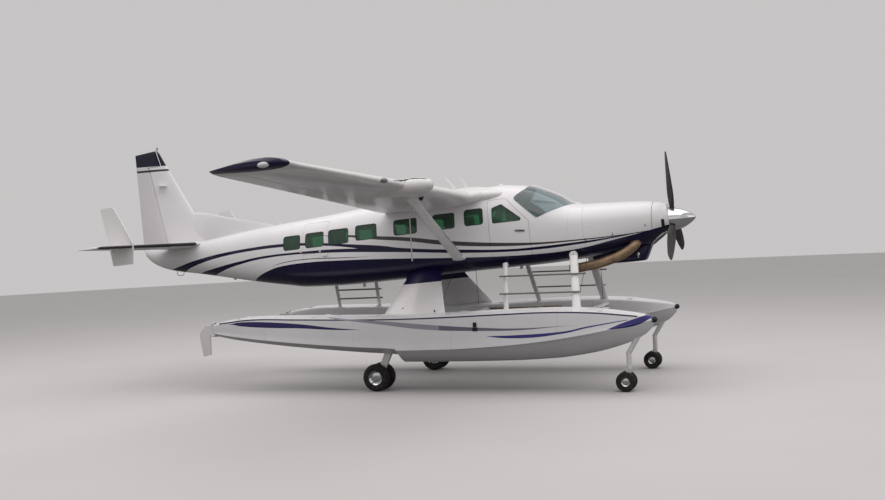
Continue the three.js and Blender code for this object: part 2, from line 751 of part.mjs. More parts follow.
// Fin and rudder sections, bottom to top: height, leading edge, trailing edge, thickness ratio
const finSections = [
  [640, -10950, -12670, 0.11],
  [1385, -11205, -12670, 0.11],
  [2560, -11835, -12670, 0.11],
  [2880, -12000, -12670, 0.10],
  [2945, -12080, -12670, 0.05],
];
function finLoft(grow) {
  return loft(finSections.map(([height, leading, trailing, thickness]) => (
    airfoilRing([0, leading, leading - trailing, 0, thickness, 0], 0, grow)
      .map((p) => new THREE.Vector3(p.x, p.z, height))
  )));
}
const rudderFoot = 742;
const rudderHingeHead = 2520;
const rudderHingeFootX = -12010;
const rudderHingeRake = 335;
function rudderHingeX(height) {
  return rudderHingeFootX - (rudderHingeRake * (height - rudderFoot)) / (rudderHingeHead - rudderFoot);
}
const rudderNose = [60, 38];
const hornFoot = 2575;
const hornFront = { low: -12010, high: -12125 };
const rudderOutline = [
  [rudderHingeX(rudderFoot), rudderFoot], [rudderHingeX(rudderHingeHead), rudderHingeHead],
  [rudderHingeX(rudderHingeHead), hornFoot], [hornFront.low, hornFoot], [hornFront.high, 2960],
  [-12720, 2960], [-12720, rudderFoot],
];
const rudderAxis = [
  new THREE.Vector3(rudderHingeX(rudderFoot), 0, rudderFoot),
  new THREE.Vector3(rudderHingeX(rudderHingeHead), 0, rudderHingeHead),
];
const rudder = joined(
  finLoft(0).intersect(sidePrism(rudderOutline, -300, 300)),
  bar(rudderAxis[0], rudderAxis[1], rudderNose[0], rudderNose[1], 16),
);
const rudderCove = [
  [rudderHingeX(500) + rudderNose[0] + surfaceGap, 500],
  [rudderHingeX(2540) + rudderNose[0] + surfaceGap, hornFoot - 18],
  [hornFront.low + 14, hornFoot - 18], [hornFront.high + 14, 3000],
  [-12900, 3000], [-12900, 500],
];
// The dorsal fillet runs forward from the fin along the fuselage's spine
const dorsalSections = [
  // station, top, half thickness
  [-9170, 885, 12],
  [-10220, 1150, 26],
  [-10630, 1270, 34],
  [-11190, 1388, 52],
  [-11420, 1388, 62],
];
const dorsalFoot = 640;
const dorsal = loft(dorsalSections.map(([x, top, half]) => [
  new THREE.Vector3(x, -half * 1.6, dorsalFoot), new THREE.Vector3(x, -half, (top + dorsalFoot) / 2),
  new THREE.Vector3(x, -half * 0.6, top - 12), new THREE.Vector3(x, 0, top),
  new THREE.Vector3(x, half * 0.6, top - 12), new THREE.Vector3(x, half, (top + dorsalFoot) / 2),
  new THREE.Vector3(x, half * 1.6, dorsalFoot),
]));
const tailLoftOuter = fuselageLoft(rearBulkhead, tailEnd, -fit);
const fin = joined(
  cutBy(
    joined(finLoft(0), dorsal),
    sidePrism(rudderCove, -300, 300),
    tailLoftOuter,
    stabilizerLoft(fit * 2),
  ),
  hingeArms(rudderAxis, rudderNose, rudderNose[0] + surfaceGap + armBite),
);
const tailCone = cutBy(
  fuselageLoft(rearBulkhead, tailEnd, 0, fit, 0),
  stabilizerLoft(fit * 2),
  box(-12800, -11830, -900, 900, 560, 720).subtract(box(-12800, -11600, -60, 60, 500, 604)),
);

// Everything from here down stands straight above the floor.
// Points of the airframe in that frame
const airframeMatrix = new THREE.Matrix4()
  .makeTranslation(spinnerTipX, 0, spinnerTipZ)
  .multiply(new THREE.Matrix4().makeRotationY(-THREE.MathUtils.degToRad(noseUpDeg)));
function airframePoint(x, y, z) {
  return new THREE.Vector3(x, y, z).applyMatrix4(airframeMatrix);
}
const bellyClear = moved(fuselageLoft(firewall, rearBulkhead, -fit * 2), airframeMatrix);

// Float sections, bow to stern: station, keel, chine, deck edge, half beam at chine, half beam at deck
const floatSections = [
  [5760, 1180, 1290, 1335, 70, 60],
  [5600, 1030, 1265, 1375, 190, 165],
  [5200, 850, 1190, 1430, 320, 290],
  [4600, 700, 1085, 1490, 410, 375],
  [3900, 610, 985, 1512, 450, 410],
  [3000, 572, 900, 1495, 465, 420],
  [1900, 560, 850, 1465, 470, 425],
  [905, 560, 840, 1452, 470, 425],
  [885, 690, 870, 1452, 462, 424],
  [0, 755, 915, 1458, 440, 412],
  [-1300, 860, 1000, 1482, 380, 365],
  [-2300, 965, 1085, 1495, 300, 295],
  [-3000, 1060, 1160, 1440, 215, 215],
  [-3360, 1130, 1205, 1375, 130, 130],
];
const deckCrown = 42;
const deckRadius = 45;
function floatLoft(grow) {
  return loft(floatSections.map(([x, keel, chine, deck, chineHalf, deckHalf], i) => {
    const ends = { 0: grow, [floatSections.length - 1]: -grow };
    const station = x + (ends[i] ?? 0);
    const crown = deck + deckCrown * (deckHalf / 425);
    const flare = keel + (chine - keel) * 0.42;
    const half = [
      [0, keel - grow], [chineHalf * 0.55, flare - grow], [chineHalf + grow, chine],
      [chineHalf * 0.35 + deckHalf * 0.65 + grow, deck - deckRadius],
      [deckHalf - deckRadius * 0.5, deck + grow], [deckHalf * 0.45, crown + grow], [0, crown + grow + 4],
    ];
    const right = half.slice(1, -1).reverse().map(([y, z]) => new THREE.Vector3(station, -y, z));
    return half.map(([y, z]) => new THREE.Vector3(station, y, z)).concat(right);
  }));
}
const floatY = floatTrack / 2;
const floatShift = new THREE.Matrix4().makeTranslation(0, -floatY, 0);
const rightFloatClear = moved(floatLoft(fit * 2), floatShift);

// Main wheel well: an open-bottomed box in each float behind the step
const well = { front: 880, rear: -180, half: 60, top: 1010 };
const floatHull = floatLoft(0)
  .subtract(box(well.rear, well.front - 40, -well.half, well.half, 500, well.top));

// Main pylon: a wide six-sided fairing between float and belly. Corners in the airframe's frame
const pylonFoot = { rear: -6110, front: -4720, half: 170, y: -floatY, z: -1420 };
const pylonHead = { rear: -5800, front: -5040, half: 120, y: -770, z: -640 };
const pylonTop = { rear: -5830, front: -4985, half: 150, y: -700, z: -470 };
function pylonRing({ rear, front, half, y, z }) {
  const middle = (rear + front) / 2;
  const long = (front - rear) / 2;
  return [[1, 0], [0.72, -0.6], [0.1, -1], [-0.6, -0.72], [-1, 0], [-0.6, 0.72], [0.1, 1], [0.72, 0.6]]
    .map(([a, b]) => airframePoint(middle + a * long, y + b * half, z));
}
const pylonWhole = loft([pylonFoot, pylonHead, pylonTop].map(pylonRing));
const pylon = cutBy(pylonWhole, bellyClear, rightFloatClear);

// Front strut: a broad plate with a rounded, bolted head, from the float's deck to the belly's side
const frontStrutFoot = airframePoint(-2190, -1410, -1620);
const frontStrutHead = airframePoint(-2280, -760, -490);
function offFrontHead(y, z) {
  return frontStrutHead.clone().add(new THREE.Vector3(0, y, z));
}
const frontStrut = cutBy(
  joined(
    blade(frontStrutFoot, frontStrutHead, 165, 80, 158, 70),
    bar(offFrontHead(34, 0), offFrontHead(-34, 0), 79, 79, 16),
    bar(offFrontHead(10, 0), airframePoint(-2280, -450, -470), 38, 38, 12),
  ),
  bellyClear,
  rightFloatClear,
);

// Front boarding ladder: one post, and two rungs fixed across the outer faces of post and strut
const postFoot = airframePoint(-3580, -1350, -1560);
const postHead = airframePoint(-3660, -772, -510);
const rungDrops = [0.24, 0.56];
const rungOverhang = { rear: 90, front: [230, 110] };
const rungHalf = 17;
function atHeight(foot, head, z) {
  return foot.clone().lerp(head, (z - foot.z) / (head.z - foot.z));
}
const rungs = rungDrops.flatMap((drop, i) => {
  const atPost = postHead.clone().lerp(postFoot, drop);
  const atStrut = atHeight(frontStrutFoot, frontStrutHead, atPost.z);
  const strutFace = atStrut.y - 48;
  return [
    box(
      atPost.x - rungOverhang.rear, atStrut.x + rungOverhang.front[i],
      strutFace - 2 * rungHalf, strutFace, atPost.z - rungHalf, atPost.z + rungHalf,
    ),
    box(
      atPost.x - 25, atPost.x + 25, strutFace - rungHalf, atPost.y, atPost.z - rungHalf, atPost.z + rungHalf,
    ),
  ];
});
const ladder = cutBy(
  joined(
    blade(postFoot, postHead, 100, 60),
    bar(postHead.clone().lerp(postFoot, 0.04), airframePoint(-3660, -500, -530), 30, 30, 12),
    ...rungs,
  ),
  bellyClear,
  rightFloatClear,
);

// Rear boarding ladder, on the left float only: two posts that lean in to the belly's side
const rearPosts = [[-8090, -8470], [-7104, -7465]].map(([head, foot]) => ({
  foot: airframePoint(foot, 1510, -1250),
  head: airframePoint(head, 605, -470),
}));
const rearRungHeights = [1900, 1690];
const rearRungOverhang = { rear: 30, front: 100 };
const rearLadder = cutBy(
  joined(
    ...rearPosts.map(({ foot, head }) => blade(foot, head, 85, 50)),
    ...rearRungHeights.map((height) => {
      const [rear, front] = rearPosts.map(({ foot, head }) => atHeight(foot, head, height));
      const along = front.clone().sub(rear).normalize();
      return bar(
        rear.addScaledVector(along, -rearRungOverhang.rear),
        front.addScaledVector(along, rearRungOverhang.front),
        18,
        18,
        10,
      );
    }),
  ),
  bellyClear,
  moved(floatLoft(fit * 2), new THREE.Matrix4().makeTranslation(0, floatY, 0)),
);

// Spreader bars between the floats' inner sides
function spreader(x, z, width, height) {
  const geometry = new THREE.CylinderGeometry(0.5, 0.5, floatTrack, 12);
  geometry.scale(width, 1, height);
  geometry.translate(x, 0, z);
  return cutBy(
    solid(geometry),
    rightFloatClear,
    moved(floatLoft(fit * 2), new THREE.Matrix4().makeTranslation(0, floatY, 0)),
  );
}
const spreaderFore = spreader(4350, 1400, 150, 62);
const spreaderAft = spreader(1740, 1370, 150, 62);

// Water rudder: a blade on a vertical pin behind the stern
const rudderPinX = -3440;
const waterRudderBlade = sidePrism([
  [-3430, 1165], [-3525, 1165], [-3525, 740], [-3720, 700], [-3800, 1180], [-3640, 1360], [-3430, 1360],
], -14, 14);
const waterRudder = joined(
  waterRudderBlade,
  bar(new THREE.Vector3(rudderPinX, 0, 1154.5), new THREE.Vector3(rudderPinX, 0, 1380.5), 26, 26, 12),
);
const sternBracket = joined(
  box(-3490, -3300, -45, 45, 1120, 1154),
  box(-3490, -3300, -45, 45, 1381, 1410),
  box(-3395, -3340, -45, 45, 1120, 1410),
);
const float = joined(floatHull, sternBracket);

// Main gear: one leg out of each well to an axle with a wheel each side
const mainAxle = new THREE.Vector3(mainWheelX, 0, mainWheelRadius);
const axleRadius = 32;
const noseAxleRadius = 22;
const axleSides = 16;
function axleBore(axle, radius) {
  const bore = boreRadius(radius, axleSides);
  return bar(axle.clone().setY(-100), axle.clone().setY(100), bore, bore, axleSides);
}
const mainLegPivot = new THREE.Vector3(640, 0, 935);
const mainLeg = joined(
  sidePrism([[mainLegPivot.x - 75, mainLegPivot.z], [mainLegPivot.x + 75, mainLegPivot.z - 20],
    [mainAxle.x + 70, mainAxle.z], [mainAxle.x - 60, mainAxle.z + 20]], -36, 36),
  bar(mainAxle.clone().setY(-36), mainAxle.clone().setY(36), 78, 78, 20),
  bar(mainLegPivot.clone().setY(-well.half + fit), mainLegPivot.clone().setY(well.half - fit), 74, 74, 20),
).subtract(axleBore(mainAxle, axleRadius));

// A pair of tyres on one axle, turned as one profile: half track, half width, tyre and rim radius
function wheelPair(radius, rim, halfTrack, halfWidth, axle) {
  const shoulder = radius * 0.16;
  const outline = [
    [0, -halfTrack - halfWidth * 0.55],
    [rim * 0.62, -halfTrack - halfWidth * 0.55],
    [rim, -halfTrack - halfWidth * 0.85],
    [radius - shoulder * 1.6, -halfTrack - halfWidth],
    [radius - shoulder * 0.4, -halfTrack - halfWidth * 0.82],
    [radius, -halfTrack - halfWidth * 0.45],
    [radius, -halfTrack + halfWidth * 0.45],
    [radius - shoulder * 0.4, -halfTrack + halfWidth * 0.82],
    [radius - shoulder * 1.6, -halfTrack + halfWidth],
    [rim, -halfTrack + halfWidth * 0.85],
    [axle, -halfTrack + halfWidth * 0.85],
  ];
  const other = outline.slice().reverse().map(([r, y]) => [r, -y]);
  const points = outline.concat(other).map(([r, y]) => new THREE.Vector2(r, y));
  const geometry = new THREE.LatheGeometry(points, 18);
  return solid(geometry);
}
const mainWheels = wheelPair(mainWheelRadius, 140, 145, 88, axleRadius);

// Nose gear: a fixed leg at the bow, a castering fork, and a pair of small wheels
const noseAxle = new THREE.Vector3(noseWheelX, 0, noseWheelRadius);
const swivelX = noseWheelX + 62;
const swivelTop = 520;
const noseLegHead = new THREE.Vector3(5560, 0, 1160);
const noseLeg = joined(
  bar(new THREE.Vector3(swivelX, 0, swivelTop + fit), new THREE.Vector3(swivelX, 0, 720), 46, 46, 16),
  bar(new THREE.Vector3(swivelX, 0, 690), noseLegHead, 44, 55, 14),
).subtract(floatLoft(fit * 2));
const noseFork = joined(
  bar(new THREE.Vector3(swivelX, 0, swivelTop), new THREE.Vector3(swivelX, 0, 400), 46, 46, 16),
  sidePrism([
    [swivelX + 45, 430], [swivelX - 45, 430],
    [noseAxle.x - 52, noseAxle.z], [noseAxle.x + 52, noseAxle.z - 20],
  ], -24, 24),
  bar(noseAxle.clone().setY(-24), noseAxle.clone().setY(24), 52, 52, 18),
).subtract(axleBore(noseAxle, noseAxleRadius));
const noseWheels = wheelPair(noseWheelRadius, 78, 92, 58, noseAxleRadius);

// A rope hangs from the rear edge of the right wing strut, below the strut's head
const ropeRadius = 11;
const ropeRoute = [
  [-4735, -2588, 688], [-4790, -2588, 652], [-4830, -2588, 600], [-4848, -2588, 540],
  [-4855, -2588, 430], [-4861, -2588, 310], [-4867, -2588, 190], [-4873, -2588, 70],
  [-4879, -2588, -50], [-4885, -2588, -170], [-4891, -2588, -290],
];
const rope = solid(new THREE.ExtrudeGeometry(roundShape(ropeRadius, 8), {
  steps: 24,
  bevelEnabled: false,
  extrudePath: new THREE.CatmullRomCurve3(ropeRoute.map(([x, y, z]) => new THREE.Vector3(x, y, z))),
})).subtract(strutBlade(fit));

// The assembly
const aircraft = new THREE.Group();
const airframe = new THREE.Group();
airframe.position.set(spinnerTipX, 0, spinnerTipZ);
airframe.rotation.y = -THREE.MathUtils.degToRad(noseUpDeg);
const airframeMirror = new THREE.Group();
airframeMirror.scale.set(1, -1, 1);
airframe.add(airframeMirror);
const gear = new THREE.Group();
const gearMirror = new THREE.Group();
gearMirror.scale.set(1, -1, 1);
aircraft.add(airframe, gear, gearMirror);

function piece(parent, name, body, material, position) {
  const geometry = body instanceof THREE.BufferGeometry ? body : geometryOf(body);
  const mesh = new THREE.Mesh(geometry, material);
  mesh.name = name;
  if (position) mesh.position.copy(position);
  parent.add(mesh);
}

// name, solid, paint: fixed once on the airframe
[
  ['fuselage_shell', fuselageShell, paint.white],
  ['tail_cone', tailCone, paint.white],
  ['engine_cowl', engineCowl, paint.white],
  ['chin_scoop', chinScoop, paint.navy],
  ['engine_block', engineBlock, paint.black],
  ['exhaust_stack', exhaust, paint.steel],
  ['cabin_floor', cabinFloor, paint.grey],
  ['instrument_panel', panel, paint.black],
  ['crew_seats', crewSeats, paint.cloth],
  ['passenger_seats', passengerSeats, paint.cloth],
  ['windshield', windshield, paint.glass],
  ['spinner', solid(spinnerNose), paint.bare],
  ['propeller', propeller, paint.black],
  ['radar_pod', radarPod, paint.white],
  ['mooring_rope', rope, paint.white],
  ['fin', fin, paint.white],
  ['rudder', rudder, paint.white],
  ['stabilizer', stabilizer, paint.grey],
  ['crew_door_right', doorOf(rightSide, rightHoles, crewDoor, crewLeaves), paint.white],
  ['crew_door_left', doorOf(leftSide, leftHoles, crewDoor, crewLeaves), paint.white],
  ['airstair_upper', rearDoor(airstair.upper, rightSide, rightHoles, true), paint.white],
  ['airstair_lower', rearDoor(airstair.lower, rightSide, rightHoles, false), paint.white],
  ['cargo_door_upper', rearDoor(cargoDoor.upper, leftSide, leftHoles, true), paint.white],
  ['cargo_door_lower', rearDoor(cargoDoor.lower, leftSide, leftHoles, false), paint.white],
].forEach(([name, body, material]) => piece(airframe, name, body, material));

// The same piece on both sides of the airframe
[
  ['wing', wing, paint.white],
  ['flap', flap, paint.grey],
  ['aileron', aileron, paint.grey],
  ['wing_strut', wingStrut, paint.white],
  ['elevator', elevator, paint.grey],
].forEach(([name, body, material]) => {
  piece(airframe, `${name}_right`, body, material);
  piece(airframeMirror, `${name}_left`, body, material);
});

// Floats, their struts and the landing gear, on both sides
const onFloat = new THREE.Vector3(0, -floatY, 0);
[
  ['float', float, paint.white, onFloat],
  ['pylon', pylon, paint.white],
  ['front_strut', frontStrut, paint.white],
  ['front_ladder', ladder, paint.white],
  ['water_rudder', waterRudder, paint.grey, onFloat],
  ['main_leg', mainLeg, paint.grey, onFloat],
  ['main_wheels', mainWheels, paint.tyre, onFloat.clone().add(mainAxle)],
  ['nose_leg', noseLeg, paint.grey, onFloat],
  ['nose_fork', noseFork, paint.grey, onFloat],
  ['nose_wheels', noseWheels, paint.tyre, onFloat.clone().add(noseAxle)],
].forEach(([name, body, material, position]) => {
  piece(gear, `${name}_right`, body, material, position);
  piece(gearMirror, `${name}_left`, body, material, position);
});
piece(gear, 'rear_ladder_left', rearLadder, paint.grey);
piece(gear, 'spreader_fore', spreaderFore, paint.white);
piece(gear, 'spreader_aft', spreaderAft, paint.white);

export default aircraft;
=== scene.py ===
import bisect
import math

import bmesh
import bpy
from mathutils import Matrix, Vector


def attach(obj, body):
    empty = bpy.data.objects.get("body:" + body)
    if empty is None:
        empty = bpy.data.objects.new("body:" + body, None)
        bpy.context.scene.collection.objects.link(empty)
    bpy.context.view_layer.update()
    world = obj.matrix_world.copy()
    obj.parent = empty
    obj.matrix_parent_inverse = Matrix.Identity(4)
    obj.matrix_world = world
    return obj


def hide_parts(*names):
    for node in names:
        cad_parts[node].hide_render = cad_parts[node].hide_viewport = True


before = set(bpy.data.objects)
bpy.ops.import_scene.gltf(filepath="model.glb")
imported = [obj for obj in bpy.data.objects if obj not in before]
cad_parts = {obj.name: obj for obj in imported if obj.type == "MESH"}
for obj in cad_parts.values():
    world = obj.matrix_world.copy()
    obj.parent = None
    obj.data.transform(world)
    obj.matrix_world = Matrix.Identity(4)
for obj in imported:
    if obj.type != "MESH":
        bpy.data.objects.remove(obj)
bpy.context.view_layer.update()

# Studio. The camera stands where the photograph was taken from, off the right wing's tip and a
# little above the float decks, with a 40.84 mm lens on a 36 mm sensor and no shift. The floor is
# pale painted concrete under large soft boxes.


def linear(hex_colour):
    """A colour written as sRGB hex, as the linear values that a shader socket takes"""
    parts = [int(hex_colour[i:i + 2], 16) / 255 for i in (0, 2, 4)]
    return [p / 12.92 if p <= 0.04045 else ((p + 0.055) / 1.055) ** 2.4 for p in parts] + [1.0]


def finish(name, colour, sockets):
    """A material with one principled surface: its name, its colour, its other constant values"""
    made = bpy.data.materials.new(name)
    made.use_nodes = True
    surface = made.node_tree.nodes["Principled BSDF"]
    surface.inputs["Base Color"].default_value = linear(colour)
    for socket, value in sockets.items():
        surface.inputs[socket].default_value = value
    return made


def add_node(material, kind, takes=(), feeds=None, shades=(), **settings):
    """Adds a node: what its sockets take, the surface's socket that it feeds, a ramp's shades and
    their places, its settings. A pattern that is given no place reads the object's coordinates"""
    tree = material.node_tree
    node = tree.nodes.new("ShaderNode" + kind)
    for name, value in settings.items():
        setattr(node, name, value)
    takes = dict(takes)
    if kind in ("TexNoise", "TexWave", "TexVoronoi", "Mapping", "SeparateXYZ") and "Vector" not in takes:
        takes["Vector"] = add_node(material, "TexCoord").outputs["Object"]
    for socket, value in takes.items():
        if isinstance(value, bpy.types.Node):
            value = value.outputs.get("Fac") or next(out for out in value.outputs if out.enabled)
        if isinstance(value, bpy.types.NodeSocket):
            tree.links.new(value, node.inputs[socket])
        else:
            node.inputs[socket].default_value = value
    if shades:
        for stop, (place, colour) in zip(node.color_ramp.elements, shades):
            stop.position, stop.color = place, linear(colour)
    if feeds:
        live = next(out for out in node.outputs if out.enabled)
        tree.links.new(live, tree.nodes["Principled BSDF"].inputs[feeds])
    return node


camera_lens = bpy.data.cameras.new("camera")
camera_lens.sensor_width = 36
camera_lens.lens = 40.84
camera_lens.clip_end = 500
camera = bpy.data.objects.new("camera", camera_lens)
picture_right = Vector((0.93706, 0.34566, -0.04937)).normalized()
picture_up = Vector((0.04496, 0.02081, 0.99877))
picture_back = picture_right.cross(picture_up).normalized()
picture_up = picture_back.cross(picture_right)
facing = Matrix((picture_right, picture_up, picture_back)).transposed().to_4x4()
camera.matrix_world = Matrix.Translation((8.5008, -19.7862, 2.7930)) @ facing
bpy.context.collection.objects.link(camera)
bpy.context.scene.camera = camera
bpy.context.scene.view_settings.view_transform = "Standard"

# Painted concrete: matt and pale, with soft clouds in its tone from the trowel. The camera sees it
# pale, while the light it throws up is dim, so that the undersides stay in shade
concrete = finish("painted_concrete", "CAC8C8", {"Roughness": 0.75})
clouds = add_node(concrete, "TexNoise", {"Scale": 0.35, "Detail": 4.0})
paint = add_node(concrete, "ValToRGB", {"Fac": clouds}, shades=((0, "C5C3C3"), (1, "CECCCC")))
seen = add_node(concrete, "LightPath").outputs["Is Camera Ray"]
add_node(concrete, "Mix", {0: seen, 6: linear("6C6B69"), 7: paint}, feeds="Base Color", data_type="RGBA")

disc = bmesh.new()
bmesh.ops.create_circle(disc, segments=96, radius=90, cap_ends=True)
floor_mesh = bpy.data.meshes.new("floor")
disc.to_mesh(floor_mesh)
disc.free()
floor_mesh.materials.append(concrete)
floor = bpy.data.objects.new("floor", floor_mesh)
bpy.context.collection.objects.link(floor)

soft_boxes = [
    # name, place, aim, width, height, watts, colour
    ("overhead", (0, -2, 17), (0, 0, 0), 30, 26, 2700, "FFFBF9"),
    ("camera_side", (7, -24, 9), (0, 0, 2), 22, 10, 90, "FFFAF5"),
    ("nose_side", (22, -4, 8), (0, 0, 2), 12, 9, 190, "FFFBF9"),
]
for name, place, aim, wide, high, watts, colour in soft_boxes:
    glow = bpy.data.lights.new(name, "AREA")
    glow.shape = "RECTANGLE"
    glow.size = wide
    glow.size_y = high
    glow.energy = watts
    glow.color = linear(colour)[:3]
    lamp = bpy.data.objects.new(name, glow)
    lamp.location = place
    lamp.rotation_euler = (Vector(aim) - Vector(place)).to_track_quat("-Z", "Y").to_euler()
    bpy.context.collection.objects.link(lamp)
room = bpy.data.worlds.new("studio")
room.use_nodes = True
room.node_tree.nodes["Background"].inputs["Color"].default_value = linear("F6F3F3")
room.node_tree.nodes["Background"].inputs["Strength"].default_value = 0.62
bpy.context.scene.world = room

# Mooring rope: three-strand white polyester, 22 mm thick and about a metre long, hitched round the
# right wing strut and hanging free beside the cabin, its lower end whipped with twine.


def along_points(corners, count):
    """Points on one smooth curve through the corners"""
    line = []
    spans = len(corners) - 1
    ends = [corners[0] * 2 - corners[1]] + list(corners) + [corners[-1] * 2 - corners[-2]]
    for step in range(count + 1):
        place = step * spans / count
        k = min(int(place), spans - 1)
        t = place - k
        a, b, c, d = ends[k:k + 4]
        line.append(0.5 * (2 * b + (c - a) * t + (2 * a - 5 * b + 4 * c - d) * t * t
                           + (3 * b - a - 3 * c + d) * t * t * t))
    return line


def points_in(geometry):
    """The points among what an operator made"""
    return [g for g in geometry if isinstance(g, bmesh.types.BMVert)]


def tube(shape, line, radii, sides=16, closed=False, tilt=(0, 0, 1), flat=1.0):
    """Sweeps a circle along a line of points"""
    place = shape.verts.layers.int.get("place") or shape.verts.layers.int.new("place")
    if not isinstance(radii, (list, tuple)):
        radii = [radii] * len(line)
    side_axis = Vector(tilt)
    verts = bmesh.ops.create_circle(shape, segments=sides, radius=1)["verts"]
    for number, vert in enumerate(verts):
        vert[place] = number
    ring = set(verts)
    edges = [e for e in shape.edges if e.verts[0] in ring and e.verts[1] in ring]
    first = edges
    for k, point in enumerate(line):
        before = line[k - 1] if k or closed else point
        after = line[(k + 1) % len(line)] if k + 1 < len(line) or closed else point
        ahead = (after - before).normalized()
        if k:
            out = bmesh.ops.extrude_edge_only(shape, edges=edges)["geom"]
            verts = points_in(out)
            ring = set(verts)
            edges = [g for g in out if isinstance(g, bmesh.types.BMEdge)
                     and g.verts[0] in ring and g.verts[1] in ring]
        across = side_axis.cross(ahead)
        if across.length < 1e-3:
            across = Vector((1, 0.2, 0)).cross(ahead)
        across.normalize()
        side_axis = ahead.cross(across)
        for vert in verts:
            turn = math.tau * vert[place] / sides
            vert.co = point + radii[k] * (math.cos(turn) * across + flat * math.sin(turn) * side_axis)
    if closed:
        bmesh.ops.bridge_loops(shape, edges=first + edges)
    else:
        bmesh.ops.contextual_create(shape, geom=first)
        bmesh.ops.contextual_create(shape, geom=edges)
    return shape


def piece(shape, name, body, materials, replaces=(), tilted=True, sharp=32):
    """Puts a finished shape in the scene: its body, its materials, the nodes it replaces"""
    bmesh.ops.remove_doubles(shape, verts=shape.verts, dist=2e-5)
    bmesh.ops.recalc_face_normals(shape, faces=shape.faces)
    if tilted:
        bmesh.ops.transform(shape, matrix=nose_up, verts=shape.verts)
    for face in shape.faces:
        face.smooth = True
    for edge in shape.edges:
        if len(edge.link_faces) != 2 or edge.calc_face_angle(0) > math.radians(sharp):
            edge.smooth = False
    mesh = bpy.data.meshes.new(name)
    shape.to_mesh(mesh)
    shape.free()
    for material in materials:
        mesh.materials.append(material)
    made = bpy.data.objects.new(name, mesh)
    bpy.context.collection.objects.link(made)
    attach(made, body)
    if replaces:
        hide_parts(*replaces)
    return made


# The airframe stands 3.4 degrees nose up on its floats. Its own pieces are drawn level, in metres
# back from the spinner's tip, and this turns them
nose_up = Matrix.Translation((6.411, 0, 3.120)) @ Matrix.Rotation(-math.radians(3.4), 4, "Y")

rope_corners = [
    (-4.735, -2.588, 0.688), (-4.790, -2.588, 0.652), (-4.830, -2.588, 0.600), (-4.848, -2.588, 0.540),
    (-4.855, -2.588, 0.430), (-4.861, -2.588, 0.310), (-4.867, -2.588, 0.190), (-4.873, -2.588, 0.070),
    (-4.879, -2.588, -0.050), (-4.885, -2.588, -0.170), (-4.891, -2.588, -0.290),
]
rope_line = along_points([nose_up @ Vector(corner) for corner in rope_corners], 36)
rope_radius = 0.011
rope_shape = tube(bmesh.new(), rope_line, rope_radius, 14)

# Laid polyester rope: white, a little grey with use, its three strands winding round once in
# 80 mm; the grooves between them are bumped and painted darker, as slanting painted shadows
rope_fibre = finish("laid_polyester_rope", "D9D5CE", {"Roughness": 0.85, "Sheen Weight": 0.3})
lay = add_node(rope_fibre, "Mapping", {"Rotation": (0.0, 0.6, 0.5)})
strands = add_node(rope_fibre, "TexWave", {"Vector": lay, "Scale": 12.0, "Distortion": 0.6},
                   bands_direction="Z")
add_node(rope_fibre, "ValToRGB", {"Fac": strands}, feeds="Base Color", shades=((0, "A9A49B"), (1, "E6E3DD")))
add_node(rope_fibre, "Bump", {"Height": strands, "Distance": 0.004}, feeds="Normal")
rope = piece(rope_shape, "mooring_line", "airframe", [rope_fibre], tilted=False)
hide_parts("mooring_rope")

whipping = bmesh.new()
twine, wound, steps_a_turn = 0.0036, 0.0125, 12
turns = []
for step in range(5 * steps_a_turn + 1):
    angle = math.tau * step / steps_a_turn
    turns.append(rope_line[-1] + Vector((
        wound * math.cos(angle), wound * math.sin(angle), 0.012 + 2 * twine * step / steps_a_turn)))
tube(whipping, turns, twine, 6)
whipped_end = piece(whipping, "rope_whipping", "airframe", [rope_fibre], tilted=False)

# Fuselage. Riveted aluminium skins on frames and stringers, sprayed white enamel with navy and
# bronze stripes. The shell is one thin wall with the doors, windows and windshield cut out of it.


def faired(table):
    """A table of stations read as smooth curves that never overshoot: station to row of sizes"""
    rows = sorted(table)
    columns = list(zip(*rows))
    stations = columns[0]
    slopes = []
    for sizes in columns[1:]:
        rises = [(b - a) / (q - p) for a, b, p, q in zip(sizes, sizes[1:], stations, stations[1:])]
        inner = [0 if a * b <= 0 else 2 * a * b / (a + b) for a, b in zip(rises, rises[1:])]
        slopes.append([rises[0]] + inner + [rises[-1]])

    def row_at(station):
        station = min(max(station, stations[0]), stations[-1])
        k = min(max(bisect.bisect_right(stations, station) - 1, 0), len(stations) - 2)
        h = stations[k + 1] - stations[k]
        t = (station - stations[k]) / h
        row = []
        for sizes, slope in zip(columns[1:], slopes):
            row.append((1 + 2 * t) * (1 - t) ** 2 * sizes[k] + t * (1 - t) ** 2 * h * slope[k]
                       + t * t * (3 - 2 * t) * sizes[k + 1] + t * t * (t - 1) * h * slope[k + 1])
        return row

    return row_at


